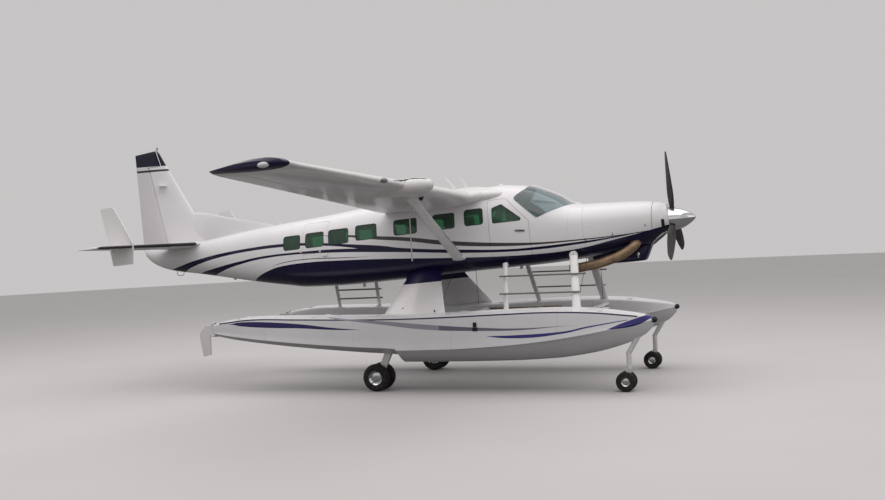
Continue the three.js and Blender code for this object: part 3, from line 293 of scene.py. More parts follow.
body_sections = [
    # station, top, bottom, half width, height of the waist, roundness above it and below it
    (-0.545, 0.325, -0.235, 0.285, 0.04, 2.0, 2.0), (-0.700, 0.370, -0.355, 0.405, 0.03, 2.1, 2.1),
    (-0.930, 0.408, -0.470, 0.520, 0.02, 2.2, 2.3), (-1.280, 0.440, -0.515, 0.625, 0.01, 2.3, 2.6),
    (-1.750, 0.475, -0.555, 0.720, 0.01, 2.4, 2.9), (-2.050, 0.492, -0.575, 0.765, 0.02, 2.5, 3.1),
    (-2.290, 0.522, -0.585, 0.790, 0.03, 2.5, 3.2), (-2.600, 0.720, -0.595, 0.815, 0.04, 2.2, 3.3),
    (-2.880, 0.865, -0.605, 0.832, 0.05, 2.3, 3.4), (-3.120, 0.970, -0.608, 0.842, 0.05, 2.5, 3.5),
    (-3.450, 1.040, -0.610, 0.850, 0.05, 2.7, 3.6), (-3.780, 1.078, -0.610, 0.855, 0.05, 2.8, 3.6),
    (-4.370, 1.062, -0.605, 0.858, 0.05, 2.9, 3.6), (-6.200, 1.020, -0.628, 0.850, 0.05, 2.9, 3.6),
    (-7.200, 0.955, -0.628, 0.815, 0.055, 2.8, 3.4), (-7.900, 0.912, -0.605, 0.765, 0.065, 2.7, 3.2),
    (-8.400, 0.890, -0.575, 0.715, 0.085, 2.6, 3.0), (-8.700, 0.877, -0.525, 0.680, 0.105, 2.5, 2.8),
    (-9.750, 0.815, -0.330, 0.535, 0.185, 2.3, 2.5), (-10.360, 0.768, -0.200, 0.450, 0.24, 2.2, 2.3),
    (-11.170, 0.705, -0.030, 0.335, 0.30, 2.1, 2.1), (-11.950, 0.690, 0.130, 0.215, 0.39, 2.0, 2.0),
    (-12.350, 0.690, 0.290, 0.145, 0.49, 2.0, 2.0), (-12.580, 0.690, 0.480, 0.085, 0.59, 2.0, 2.0),
    (-12.640, 0.685, 0.600, 0.040, 0.645, 2.0, 2.0),
]
body_at = faired(body_sections)
ring_points = 96


def on_skin(point, depth=0.0):
    """The point moved straight out from the body's middle until it lies on the skin"""
    top, bottom, half, waist, upper, lower = body_at(point.x)
    y, z = point.y, point.z - waist
    rise, power = (top - waist, upper) if z >= 0 else (waist - bottom, lower)
    reach = (abs(y / half) ** power + abs(z / rise) ** power) ** (-1 / power)
    reach *= 1 - depth / max(math.hypot(y, z) * reach, 0.05)
    return Vector((point.x, y * reach, waist + z * reach))


def round_turn(count):
    """The cosine and the sine at each of so many steps of one full turn"""
    return [(math.cos(math.tau * k / count), math.sin(math.tau * k / count)) for k in range(count)]


def body_ring(station):
    waist = body_at(station)[3]
    return [on_skin(Vector((station, c, waist + s))) for c, s in round_turn(ring_points)]


def rings(shape, stations, ring_at):
    """A closed ring of points at the first station, extruded through the others: its two ends"""
    place = shape.verts.layers.int.get("place") or shape.verts.layers.int.new("place")
    edges = first = None
    for station in stations:
        points = ring_at(station)
        if edges is None:
            verts = bmesh.ops.create_circle(shape, segments=len(points), radius=1)["verts"]
            for number, vert in enumerate(verts):
                vert[place] = number
            found = shape.edges
        else:
            found = bmesh.ops.extrude_edge_only(shape, edges=edges)["geom"]
            verts = points_in(found)
            found = [g for g in found if isinstance(g, bmesh.types.BMEdge)]
        ring = set(verts)
        edges = [e for e in found if e.verts[0] in ring and e.verts[1] in ring]
        first = first or edges
        for vert in verts:
            vert.co = points[vert[place]]
    return first, edges


def slab(shape, stations, ring_at):
    """A closed length between the first station and the last, with flat ends"""
    for ends in rings(shape, stations, ring_at):
        bmesh.ops.contextual_create(shape, geom=ends)


def stops(start, end, step):
    count = max(1, round(abs(end - start) / step))
    return [start + (end - start) * k / count for k in range(count + 1)]


def rounded(corners, radius, steps=5):
    """An outline with each corner rounded"""
    line = []
    count = len(corners)
    for k, corner in enumerate(corners):
        corner = Vector(corner)
        back = Vector(corners[k - 1]) - corner
        on = Vector(corners[(k + 1) % count]) - corner
        half_turn = back.angle(on) / 2
        cut = min(radius / math.tan(half_turn), 0.45 * back.length, 0.45 * on.length)
        start, end = corner + back.normalized() * cut, corner + on.normalized() * cut
        for step in range(steps + 1):
            t = step / steps
            line.append((1 - t) ** 2 * start + 2 * t * (1 - t) * corner + t * t * end)
    return line


def drawn_in(outline, gap):
    """An outline moved inwards by a gap all round"""
    count = len(outline)
    area = sum(outline[k - 1].cross(outline[k]) for k in range(count))
    hand = 1 if area > 0 else -1
    line = []
    for k, corner in enumerate(outline):
        one = (corner - outline[k - 1]).normalized()
        two = (outline[(k + 1) % count] - corner).normalized()
        normals = [Vector((-d.y, d.x)) * hand for d in (one, two)]
        line.append(corner + gap * (normals[0] + normals[1]) / (1 + normals[0].dot(normals[1])))
    return line


def cut_outline(skin, outline, side, lean=0.0, datum=0.0):
    """Cuts a side outline through the skin, square to it or leaning, and returns what is inside"""
    def drawn(point):
        return point.x - lean * (point.y - datum), point.z

    def meets(face, marks):
        spots = [drawn(v.co) for v in face.verts]
        for axis in (0, 1):
            if min(s[axis] for s in spots) > max(m[axis] for m in marks) + 1e-4:
                return False
            if max(s[axis] for s in spots) < min(m[axis] for m in marks) - 1e-4:
                return False
        return True

    def holds(x, z):
        within = False
        for a, b in zip(outline, outline[1:] + outline[:1]):
            if (a[1] > z) != (b[1] > z) and x < a[0] + (z - a[1]) * (b[0] - a[0]) / (b[1] - a[1]):
                within = not within
        return within

    near = [f for f in skin.faces if f.calc_center_median().y * side >= 0 and meets(f, outline)]
    for start, end in zip(outline, outline[1:] + outline[:1]):
        crossing = {f for f in near if meets(f, (start, end))}
        if not crossing:
            continue
        near = [f for f in near if f not in crossing]
        faces = [f for f in skin.faces if f in crossing]
        edges = list(dict.fromkeys(e for f in faces for e in f.edges))
        verts = list(dict.fromkeys(v for f in faces for v in f.verts))
        heading = Vector((end[0] - start[0], 0, end[1] - start[1]))
        cut = bmesh.ops.bisect_plane(
            skin, geom=faces + edges + verts, dist=1e-5,
            plane_co=(start[0], datum, start[1]),
            plane_no=heading.cross(Vector((lean, 1, 0))))
        near += [g for g in cut["geom"] if isinstance(g, bmesh.types.BMFace)]
    return [face for face in near if holds(*drawn(face.calc_center_median()))]


def settled(skin, depth=0.0):
    for vert in skin.verts:
        vert.co = on_skin(vert.co, depth)
    return skin


def thicken(made, thickness, inner=0):
    """Gives a sheet its thickness inwards, its inner face so many materials further on"""
    wall = made.modifiers.new("wall", "SOLIDIFY")
    wall.thickness = thickness
    wall.offset = -1
    wall.material_offset = inner


def skin_patch(outline, side, depth=0.0, lean=0.0, datum=0.0, step=0.05):
    """The part of the body's skin inside a side outline"""
    reach = abs(lean) * 0.9
    back, front = min(p[0] for p in outline) - reach, max(p[0] for p in outline) + reach
    patch = bmesh.new()
    rings(patch, stops(front + 0.01, back - 0.01, step), body_ring)
    inside = set(cut_outline(patch, outline, side, lean, datum))
    bmesh.ops.delete(patch, geom=[f for f in patch.faces if f not in inside], context="FACES")
    return settled(patch, depth)


# Stripes, as the heights of their edges at places along the aircraft, in metres in the shared frame
stripe_edges = {
    "bronze_top": [
        (-1.30, 3.139), (-0.578, 3.116), (0.076, 3.063), (0.69, 3.012), (1.768, 2.877), (2.914, 2.791),
        (3.528, 2.773), (3.904, 2.780), (4.893, 2.830), (5.563, 2.898), (5.75, 2.93)],
    "bronze_foot": [
        (-1.30, 3.138), (-0.578, 3.075), (0.074, 2.993), (0.686, 2.935), (1.764, 2.791), (2.91, 2.728),
        (3.525, 2.732), (3.901, 2.749), (4.891, 2.811), (5.561, 2.883), (5.75, 2.92)],
    "navy_top": [
        (-5.6, 2.52), (-5.15, 2.625), (-4.671, 2.738), (-3.855, 2.876), (-3.075, 2.958), (-2.323, 3.006),
        (-1.762, 3.004), (-1.149, 2.976), (-0.58, 2.927), (0.114, 2.868), (0.685, 2.79), (1.987, 2.699),
        (2.905, 2.667), (3.521, 2.691), (4.119, 2.733), (4.701, 2.786), (5.452, 2.879), (5.7, 2.915)],
    "wedge_top": [
        (-5.6, 2.26), (-5.15, 2.462), (-4.698, 2.618), (-3.855, 2.800), (-3.072, 2.892), (-2.319, 2.939),
        (-1.76, 2.948), (-1.149, 2.922), (-0.583, 2.862), (-0.36, 2.825)],
    "wedge_foot": [
        (-4.9, 2.36), (-4.614, 2.449), (-4.05, 2.56), (-3.471, 2.662), (-2.692, 2.768), (-1.809, 2.815),
        (-1.26, 2.833), (-0.871, 2.838), (-0.36, 2.827)],
    "navy_foot": [
        (-4.6, 2.27), (-4.182, 2.399), (-3.483, 2.587), (-2.695, 2.716), (-1.812, 2.768), (-0.875, 2.768),
        (0.107, 2.734), (0.681, 2.707), (1.981, 2.635), (2.899, 2.618), (3.514, 2.637), (4.113, 2.684),
        (4.698, 2.754), (5.452, 2.873), (5.7, 2.914)],
    "line_top": [(-2.53, 2.53), (-2.072, 2.628), (-1.545, 2.666), (-0.677, 2.658), (-0.1, 2.648)],
    "line_foot": [(-2.53, 2.529), (-2.074, 2.610), (-1.546, 2.647), (-0.678, 2.640), (-0.1, 2.647)],
    "belly": [
        (-3.32, 2.13), (-3.125, 2.242), (-2.852, 2.365), (-2.62, 2.446), (-2.268, 2.528), (-1.55, 2.588),
        (-0.777, 2.598), (0.354, 2.585), (1.763, 2.545), (2.667, 2.533), (3.5, 2.549), (3.875, 2.570),
        (4.298, 2.621), (4.885, 2.745), (5.451, 2.868), (5.794, 2.957), (5.95, 3.0)],
}
stripe_reach = 6.5


def striped_enamel(name, base, edges, bands, low, high, joints=0.22, beyond=0.0):
    """Sprayed acrylic enamel: gloss, with wide soft ripples of the skins, and hard masked stripes"""
    enamel = finish(name, base, {
        "Roughness": 0.26, "Specular IOR Level": 0.3, "Coat Weight": 0.2, "Coat Roughness": 0.06})
    split = add_node(enamel, "SeparateXYZ")

    def sum_of(one, operation, other):
        return add_node(enamel, "Math", {0: one, 1: other}, operation=operation, use_clamp=True)

    def over(colour, mask, paint):
        takes = {0: mask, 6: colour, 7: linear(paint)}
        return add_node(enamel, "Mix", takes, data_type="RGBA")

    x, y, z = split.outputs
    along = add_node(enamel, "MapRange", {"Value": x, "From Min": -stripe_reach, "From Max": stripe_reach})
    height = add_node(enamel, "MapRange", {"Value": z, "From Min": low, "From Max": high})
    under = {}
    for edge, marks in edges.items():
        line = add_node(enamel, "FloatCurve", {"Value": along})
        curve = line.mapping.curves[0]
        spots = [((at + stripe_reach) / (2 * stripe_reach), (up - low) / (high - low)) for at, up in marks]
        curve.points[0].location = spots[0]
        curve.points[1].location = spots[-1]
        for place in spots[1:-1]:
            curve.points.new(*place)
        line.mapping.update()
        under[edge] = sum_of(height, "LESS_THAN", line)

    # Years of exhaust and spray leave the paint very slightly uneven, in patches about a metre wide
    patches = add_node(enamel, "TexNoise", {"Scale": 0.9, "Detail": 5.0, "Roughness": 0.6})
    colour = add_node(enamel, "ValToRGB", {"Fac": patches}, shades=((0.3, base), (0.62, base)))
    colour.color_ramp.elements[0].color = [c * 0.94 for c in linear(base)[:3]] + [1]
    outboard = sum_of(add_node(enamel, "Math", {0: y}, operation="ABSOLUTE"), "GREATER_THAN", beyond)
    for paint, top, foot, back, front in bands:
        mask = under[top]
        if foot:
            mask = sum_of(mask, "SUBTRACT", under[foot])
        mask = sum_of(mask, "MULTIPLY", outboard)
        within = sum_of(sum_of(x, "LESS_THAN", front), "MULTIPLY", sum_of(x, "GREATER_THAN", back))
        colour = over(colour, sum_of(mask, "MULTIPLY", within), paint)

    # Lapped skins: a joint line 5 mm wide, wider than the real 1 mm so that it shows, at each
    # fourth frame
    half_skin, half_joint = 1.02, 0.0025
    bay = add_node(enamel, "Math", {0: x, 1: half_skin}, operation="PINGPONG")
    shade = sum_of(sum_of(bay, "LESS_THAN", half_joint), "MULTIPLY", joints)
    takes = {0: shade, 6: colour, 7: linear("3A3A40")}
    add_node(enamel, "Mix", takes, feeds="Base Color", data_type="RGBA")
    ripple = add_node(enamel, "TexNoise", {"Scale": 2.2, "Detail": 1.0})
    add_node(enamel, "Bump", {"Height": ripple, "Distance": 0.006, "Strength": 0.25}, feeds="Normal")
    return enamel


body_bands = [
    # paint, its upper edge, its lower edge, and where it ends aft and forwards
    ("474043", "bronze_top", "bronze_foot", -1.30, 5.75), ("100C33", "navy_top", "navy_foot", -5.6, 5.7),
    ("E9E8EA", "wedge_top", "wedge_foot", -5.6, -0.36), ("5F5E66", "line_top", "line_foot", -2.53, -0.1),
    ("0F0B30", "belly", None, -3.32, 7.0),
]
skin_enamel = striped_enamel("striped_enamel", "E9E8EA", stripe_edges, body_bands, 2.0, 3.5)

# Woven wool headliner and vinyl side panels: warm mid grey, matt, with a fine weave
cabin_trim = finish("cabin_headliner", "565450", {"Roughness": 0.9, "Sheen Weight": 0.2})
weave = add_node(cabin_trim, "TexNoise", {"Scale": 60.0, "Detail": 3.0})
add_node(cabin_trim, "ValToRGB", {"Fac": weave}, feeds="Base Color", shades=((0, "4A4845"), (1, "625F5B")))

firewall, rear_bulkhead, tail_end = -2.05, -8.70, -12.64
cabin_windows = [
    # rear, front, sill, head
    (-8.61, -8.17, 0.24, 0.55), (-8.05, -7.58, 0.24, 0.56), (-7.47, -6.98, 0.25, 0.57),
    (-6.82, -6.32, 0.27, 0.59), (-5.94, -5.42, 0.28, 0.60), (-5.08, -4.60, 0.29, 0.61),
    (-4.40, -4.00, 0.30, 0.63),
]
window_outlines = [
    rounded([(rear, sill), (front, sill), (front, head), (rear, head)], 0.07)
    for rear, front, sill, head in cabin_windows
]
windshield_outline = rounded([
    (-2.19, 0.56), (-2.33, 0.50), (-2.54, 0.43), (-2.75, 0.365), (-2.915, 0.30), (-2.965, 0.325),
    (-3.415, 0.755), (-3.19, 0.93), (-3.13, 1.15), (-2.19, 1.15)], 0.08, 4)
crew_door_outline = rounded([
    (-3.90, -0.40), (-3.08, -0.40), (-3.08, 0.27), (-3.53, 0.765), (-3.90, 0.765)], 0.05)
# Rear doors swing up and down on hinges along the tapering cabin, so their ends are square to it
airstair_halves = [
    # name, outline, lean towards the taper
    ("airstair_upper", [(-8.12, 0.114), (-7.50, 0.114), (-7.50, 0.77), (-8.12, 0.77)], 0.125),
    ("airstair_lower", [(-8.12, -0.40), (-7.50, -0.40), (-7.50, 0.12), (-8.12, 0.12)], 0.115),
]
cargo_halves = [
    ("cargo_door_upper", [(-7.55, -0.026), (-6.28, -0.026), (-6.28, 0.775), (-7.55, 0.775)], 0.09),
    ("cargo_door_lower", [(-7.55, -0.40), (-6.28, -0.40), (-6.28, -0.02), (-7.55, -0.02)], 0.056),
]
airstair_datum, cargo_datum = 0.768, 0.820

shell = bmesh.new()
rings(shell, stops(firewall, rear_bulkhead, 0.05), body_ring)
openings = [(windshield_outline, 1, 0, 0), (windshield_outline, -1, 0, 0)]
for side in (-1, 1):
    openings.append((crew_door_outline, side, 0, 0))
    behind_door = (1,) if side < 0 else (2, 3)
    for number, outline in enumerate(window_outlines):
        if number not in behind_door:
            openings.append((outline, side, 0, 0))
for halves, side, datum in ((airstair_halves, -1, airstair_datum), (cargo_halves, 1, cargo_datum)):
    for name, corners, taper in halves:
        openings.append((rounded(corners, 0.03), side, -side * taper, side * datum))
for opening in openings:
    bmesh.ops.delete(shell, geom=cut_outline(shell, *opening), context="FACES")
settled(shell)
fuselage = piece(shell, "fuselage_skin", "airframe", [skin_enamel, cabin_trim],
                 replaces=["fuselage_shell"])
thicken(fuselage, 0.036, inner=1)

# Tail cone: the same skins, riveted to the rear bulkhead and drawn down to a blunt end under the
# rudder
tail = bmesh.new()
blunt_end = rings(tail, stops(rear_bulkhead - 0.0005, tail_end, 0.06), body_ring)[1]
bmesh.ops.contextual_create(tail, geom=blunt_end)
tail_skin = piece(tail, "tail_skin", "airframe", [skin_enamel, cabin_trim],
                  replaces=["tail_cone"])
thicken(tail_skin, 0.004, inner=1)

# Engine cowl: two pressed aluminium halves that latch together along the sides, drawn down round
# the spinner, with a raked air intake under it whose lip is polished metal.
cowl_front, nose_depth, nose_radius = -0.545, 0.055, 0.228


def cowl_ring(station):
    """The body's section, drawn in over the last few centimetres to a circle behind the spinner"""
    if station <= cowl_front:
        return body_ring(station)
    share = (station - cowl_front) / nose_depth
    swing = math.sqrt(max(0.0, 1 - share * share))
    line = []
    for point, (c, s) in zip(body_ring(cowl_front), round_turn(ring_points)):
        eye = Vector((station, nose_radius * c, nose_radius * s))
        line.append(eye.lerp(Vector((station, point.y, point.z)), swing))
    return line


cowl = bmesh.new()
front_stations = [cowl_front + nose_depth * math.sin(math.radians(a)) for a in (88, 75, 60, 45, 30, 15)]
nose_edge = rings(cowl, front_stations + stops(cowl_front, firewall + 0.003, 0.04), cowl_ring)[0]
back = bmesh.ops.extrude_edge_only(cowl, edges=nose_edge)["geom"]
throat = points_in(back)
bmesh.ops.translate(cowl, verts=throat, vec=(-0.14, 0, 0))
rim = [g for g in back if isinstance(g, bmesh.types.BMEdge) and all(v in throat for v in g.verts)]
bmesh.ops.contextual_create(cowl, geom=rim)
# The turned-in lip and the flat disc that closes the throat behind the spinner take the black: painted shade
# for the depth of the opening
for face in cowl.faces:
    if len(face.verts) > 4 or face.calc_center_median().x > cowl_front - 0.1 and all(
            math.hypot(v.co.y, v.co.z) < nose_radius + 0.002 for v in face.verts):
        face.material_index = 1

# Burnt-black primer inside the nose and ducts, dull: near-black painted shade, so that openings read as deep.
# Latches, joints, the exhaust's bore and the instrument panel wear it as their own black
black_primer_and_shade = finish("black_primer_and_painted_shade", "0D0D0F", {"Roughness": 0.85})
soot = add_node(black_primer_and_shade, "TexNoise", {"Scale": 30.0, "Detail": 4.0})
add_node(black_primer_and_shade, "ValToRGB", {"Fac": soot}, feeds="Base Color", shades=((0, "08080A"), (1, "1A1A1C")))
cowl_skin = piece(cowl, "cowl_skin", "airframe", [skin_enamel, black_primer_and_shade],
                  replaces=["engine_cowl"])
thicken(cowl_skin, 0.004, inner=1)

# Polished aluminium: bright, with the streaks of hand polishing running round the nose
polished_metal = finish("polished_aluminium", "D6D8DB", {"Metallic": 1.0, "Roughness": 0.1})
drawn = add_node(polished_metal, "Mapping", {"Scale": (60.0, 6.0, 6.0)})
streaks = add_node(polished_metal, "TexNoise", {"Vector": drawn, "Scale": 3.0, "Detail": 3.0})
add_node(polished_metal, "MapRange", {"Value": streaks, "To Min": 0.05, "To Max": 0.2}, feeds="Roughness")

# The intake is an oval in a plane that leans back from the spinner's foot to the chin
intake_middle = Vector((-0.72, 0.0, -0.345))
rake = Vector((-0.86, 0.0, -0.51)).normalized()
half_tall, half_wide = 0.22, 0.235
intake = [on_skin(intake_middle + rake * half_tall * c + Vector((0, half_wide * s, 0)), -0.004)
          for c, s in round_turn(48)]
lip = tube(bmesh.new(), intake, 0.017, 12, closed=True)
piece(lip, "intake_lip", "airframe", [polished_metal])
# A flat black sheet across the intake, inset from the lip, is painted shade that stands for the deep duct
# behind it
mouth = bmesh.new()
mouth.faces.new([mouth.verts.new(p) for p in intake])
bmesh.ops.inset_region(mouth, faces=mouth.faces[:], thickness=0.02, depth=0.0)
piece(mouth, "intake_painted_shade", "airframe", [black_primer_and_shade], sharp=60)

# Side inlets: dark patches laid on the skin beside the spinner's lower half, one on each side, painted shade
# that stands for the openings
both_sides = ((-1, "right"), (1, "left"))
nose_slot = rounded([(-0.618, -0.165), (-0.568, -0.155), (-0.563, 0.012), (-0.613, 0.022)], 0.016, 4)
for side, name in both_sides:
    slot = skin_patch(nose_slot, side, -0.003, step=0.015)
    inlet = piece(slot, "nose_inlet_shade_" + name, "airframe", [black_primer_and_shade])
    thicken(inlet, 0.006)

# Cowl joint round the nose, seen as a fine dark line, and spring latches along the sides
joint = [on_skin(Vector((-0.755 - 0.05 * (1 - s) / 2, c, 0.03 + s)), -0.0004) for c, s in round_turn(72)]
piece(tube(bmesh.new(), joint, 0.0035, 6, closed=True), "cowl_joint", "airframe", [black_primer_and_shade])
latches = bmesh.new()
latch_places = [(-0.900, -0.150), (-1.508, -0.270), (-2.02, -0.30)]
for x, z in latch_places:
    for side in (-1, 1):
        foot = on_skin(Vector((x + 0.004, side, z - 0.040)), -0.003)
        head = on_skin(Vector((x - 0.004, side, z + 0.040)), -0.003)
        tube(latches, [foot, foot.lerp(head, 0.5), head], [0.006, 0.008, 0.006], 8)
piece(latches, "cowl_latches", "airframe", [black_primer_and_shade])

# Chin scoop: a pressed aluminium box for the oil cooler, enamelled navy like the belly above it
navy_enamel = finish("navy_enamel", "120D3A", {
    "Roughness": 0.28, "Specular IOR Level": 0.3, "Coat Weight": 0.25, "Coat Roughness": 0.08})
mist = add_node(navy_enamel, "TexNoise", {"Scale": 2.0, "Detail": 5.0})
add_node(navy_enamel, "ValToRGB", {"Fac": mist}, feeds="Base Color", shades=((0, "0F0A33"), (1, "161041")))


def break_edges(made, width, segments=2, angle=30):
    """Rounds the edges that turn by more than an angle"""
    worn = made.modifiers.new("broken_edges", "BEVEL")
    worn.width = width
    worn.segments = segments
    worn.angle_limit = math.radians(angle)


chin_sections = [
    # station, top, bottom, half width
    (-0.880, -0.300, -0.465, 0.175), (-1.045, -0.350, -0.740, 0.190), (-1.300, -0.380, -0.745, 0.198),
    (-1.680, -0.400, -0.735, 0.190), (-2.040, -0.450, -0.625, 0.150),
]
chin_at = faired(chin_sections)


def chin_ring(station):
    top, bottom, half = chin_at(station)
    waist, line = (top + bottom) / 2, []
    for c, s in round_turn(40):
        reach = (abs(c / half) ** 5 + abs(s / (waist - bottom)) ** 5) ** -0.2
        line.append(Vector((station, reach * c, waist + reach * s)))
    return line


chin = bmesh.new()
slab(chin, stops(-0.880, -1.045, 0.03) + stops(-1.09, -2.04, 0.08), chin_ring)
chin_scoop = piece(chin, "chin_box", "airframe", [navy_enamel], replaces=["chin_scoop"])
break_edges(chin_scoop, 0.02, segments=3)

# Small bleed louvre on the chin's right cheek: a pale drop of bare metal


def egg(radii, middle, around, up):
    """A ball drawn out to three radii, with so many faces around it and up it"""
    shape = bmesh.new()
    bmesh.ops.create_uvsphere(shape, u_segments=around, v_segments=up, radius=1)
    bmesh.ops.scale(shape, verts=shape.verts, vec=radii)
    bmesh.ops.translate(shape, verts=shape.verts, vec=middle)
    return shape


louvre = egg((0.030, 0.007, 0.064), (0, 0, 0), 16, 10)
for vert in louvre.verts:
    if vert.co.z < 0:
        vert.co.x *= 0.5
bmesh.ops.translate(louvre, verts=louvre.verts, vec=(-1.140, -0.195, -0.620))
piece(louvre, "chin_louvre", "airframe", [polished_metal])

# A bright pressed seam joins the chin to the cowl, from the intake's foot aft along both cheeks
chin_seam = bmesh.new()
for side in (-1, 1):
    line = []
    for station in stops(-0.92, -1.20, 0.05):
        top, bottom, half = chin_at(station)
        waist = (top + bottom) / 2
        height = top - 0.035
        out = half * (1 - ((height - waist) / (waist - bottom)) ** 5) ** 0.2
        line.append(Vector((station, side * (out + 0.001), height)))
    tube(chin_seam, line, 0.007, 8)
piece(chin_seam, "chin_seam", "airframe", [polished_metal])

# Exhaust stack: welded stainless tube under the right side of the cowl, browned by heat, its
# black open end turned aft.
exhaust_route = [
    (-1.10, -0.36, -0.375), (-1.13, -0.445, -0.41), (-1.21, -0.50, -0.48), (-1.36, -0.525, -0.565),
    (-1.58, -0.53, -0.64), (-1.90, -0.52, -0.71), (-2.43, -0.51, -0.765)]
exhaust_line = along_points([Vector(p) for p in exhaust_route], 32)
stack = tube(bmesh.new(), exhaust_line, [0.078 + 0.014 * min(1, k / 6) for k in range(33)], 32)
tail_disc = max(stack.faces, key=lambda f: len(f.verts) * 10 - f.calc_center_median().x)
bmesh.ops.inset_region(stack, faces=[tail_disc], thickness=0.008)
bore = bmesh.ops.extrude_face_region(stack, geom=[tail_disc])["geom"]
bmesh.ops.delete(stack, geom=[tail_disc], context="FACES_ONLY")
bmesh.ops.translate(stack, verts=points_in(bore), vec=(0.30, 0, 0.03))
for face in stack.faces:
    if all((v.co - exhaust_line[-1]).length < 0.40 for v in face.verts):
        middle = face.calc_center_median()
        inner = min((middle - p).length for p in exhaust_line)
        if inner < 0.086 or middle.x < exhaust_line[-1].x + 0.035:
            face.material_index = 1

# Heat-stained stainless steel: straw to brown bands, hottest and darkest by the engine
stained_steel = finish("heat_stained_steel", "7A6A55", {"Metallic": 0.6, "Roughness": 0.45})
stain = add_node(stained_steel, "TexNoise", {"Scale": 3.5, "Detail": 6.0, "Roughness": 0.65})
add_node(stained_steel, "ValToRGB", {"Fac": stain}, feeds="Base Color",
         shades=((0.3, "6A5646"), (0.7, "AB9276")))
add_node(stained_steel, "Bump", {"Height": stain, "Distance": 0.002}, feeds="Normal")
piece(stack, "exhaust_pipe", "airframe", [stained_steel, black_primer_and_shade],
      replaces=["exhaust_stack"])

# Spinner and propeller. A spun and polished aluminium cone with a fine edge at its backplate, and
# three forged aluminium blades painted matt black, in collars that turn for pitch.
spinner_profile = [(0.0, 0.0), (-0.006, 0.02), (-0.025, 0.045), (-0.08, 0.092), (-0.16, 0.142),
                   (-0.24, 0.180), (-0.33, 0.206), (-0.43, 0.219), (-0.525, 0.2225), (-0.53, 0.218)]


def spun(shape, line, axis, steps, middle=(0, 0, 0), closed=False):
    """Turns a line of points once round an axis through the middle"""
    verts = [shape.verts.new(point) for point in line]
    pairs = list(zip(verts, verts[1:] + verts[:1] if closed else verts[1:]))
    edges = [shape.edges.new(pair) for pair in pairs]
    bmesh.ops.spin(shape, geom=verts + edges, cent=middle, axis=axis, angle=math.tau, steps=steps,
                   use_merge=True)


cone = bmesh.new()
profile_line = along_points([Vector((x, r, 0)) for x, r in spinner_profile], 45)
spun(cone, [(p.x, max(p.y, 0.0), 0) for p in profile_line], (1, 0, 0), 64)
bmesh.ops.remove_doubles(cone, verts=cone.verts, dist=1e-4)
bmesh.ops.holes_fill(cone, edges=[e for e in cone.edges if e.is_boundary], sides=0)
piece(cone, "spinner_cone", "propeller", [polished_metal], replaces=["spinner"])

blade_sections = [
    # radius, chord, thickness, pitch in degrees from the disc
    (0.150, 0.085, 0.080, 62), (0.240, 0.100, 0.074, 58), (0.330, 0.150, 0.056, 50),
    (0.600, 0.215, 0.034, 38), (0.900, 0.225, 0.024, 28), (1.180, 0.190, 0.016, 22),
    (1.285, 0.140, 0.011, 20), (1.318, 0.070, 0.007, 20),
]
blade_at = faired(blade_sections)
propeller_x = -0.43


def blade_ring(radius):
    chord, thick, pitch = blade_at(radius)
    pitch = math.radians(pitch)
    line = []
    for c, s in round_turn(28):
        across = 0.5 * chord * c
        up = 0.5 * thick * s * (0.55 + 0.45 * (1 - c) / 2 + 0.25 * (1 - c * c)) / 1.05
        line.append(Vector((propeller_x - across * math.sin(pitch) + up * math.cos(pitch),
                            across * math.cos(pitch) + up * math.sin(pitch), radius)))
    return line


def joined(shape, part):
    """Moves a finished part into a shape"""
    spare = bpy.data.meshes.new("part")
    part.to_mesh(spare)
    part.free()
    shape.from_mesh(spare)
    bpy.data.meshes.remove(spare)


def add_bar(shape, axis, sides, radius, length, middle):
    """Adds a round bar, turned a quarter round an axis from upright"""
    made = bmesh.ops.create_cone(shape, segments=sides, radius1=radius, radius2=radius, depth=length,
                                 cap_ends=True)["verts"]
    bmesh.ops.rotate(shape, verts=made, matrix=Matrix.Rotation(math.pi / 2, 3, axis))
    bmesh.ops.translate(shape, verts=made, vec=middle)


screw = bmesh.new()
for number in range(3):
    blade = bmesh.new()
    slab(blade, stops(0.15, 1.16, 0.05) + [1.20, 1.24, 1.27, 1.29, 1.305, 1.318], blade_ring)
    collar = bmesh.ops.create_cone(blade, segments=32, radius1=0.058, radius2=0.05, depth=0.06, cap_ends=True)
    bmesh.ops.translate(blade, verts=collar["verts"], vec=(propeller_x, 0, 0.205))
    turn = Matrix.Rotation(math.radians(4 + 120 * number), 4, "X")
    bmesh.ops.transform(blade, matrix=turn, verts=blade.verts)
    joined(screw, blade)
# The shaft, and the spinner's backplate
add_bar(screw, "Y", 40, 0.07, 0.16, (-0.60, 0, 0))
add_bar(screw, "Y", 64, 0.214, 0.02, (-0.522, 0, 0))

# Matt black epoxy on the blades, worn to a browner grey towards the leading edges and tips
blade_black = finish("blade_epoxy_black", "1C1C1E", {"Roughness": 0.5})
wear = add_node(blade_black, "TexNoise", {"Scale": 9.0, "Detail": 6.0})
add_node(blade_black, "ValToRGB", {"Fac": wear}, feeds="Base Color",
         shades=((0.45, "19191B"), (0.75, "35332F")))
piece(screw, "propeller_blades", "propeller", [blade_black], replaces=["propeller"])

# Window panes: tinted acrylic bedded in black rubber, flush with the skin. Seen from outside they
# are dark green, with a black edge all round, which also stands in as painted shade for the reveal.


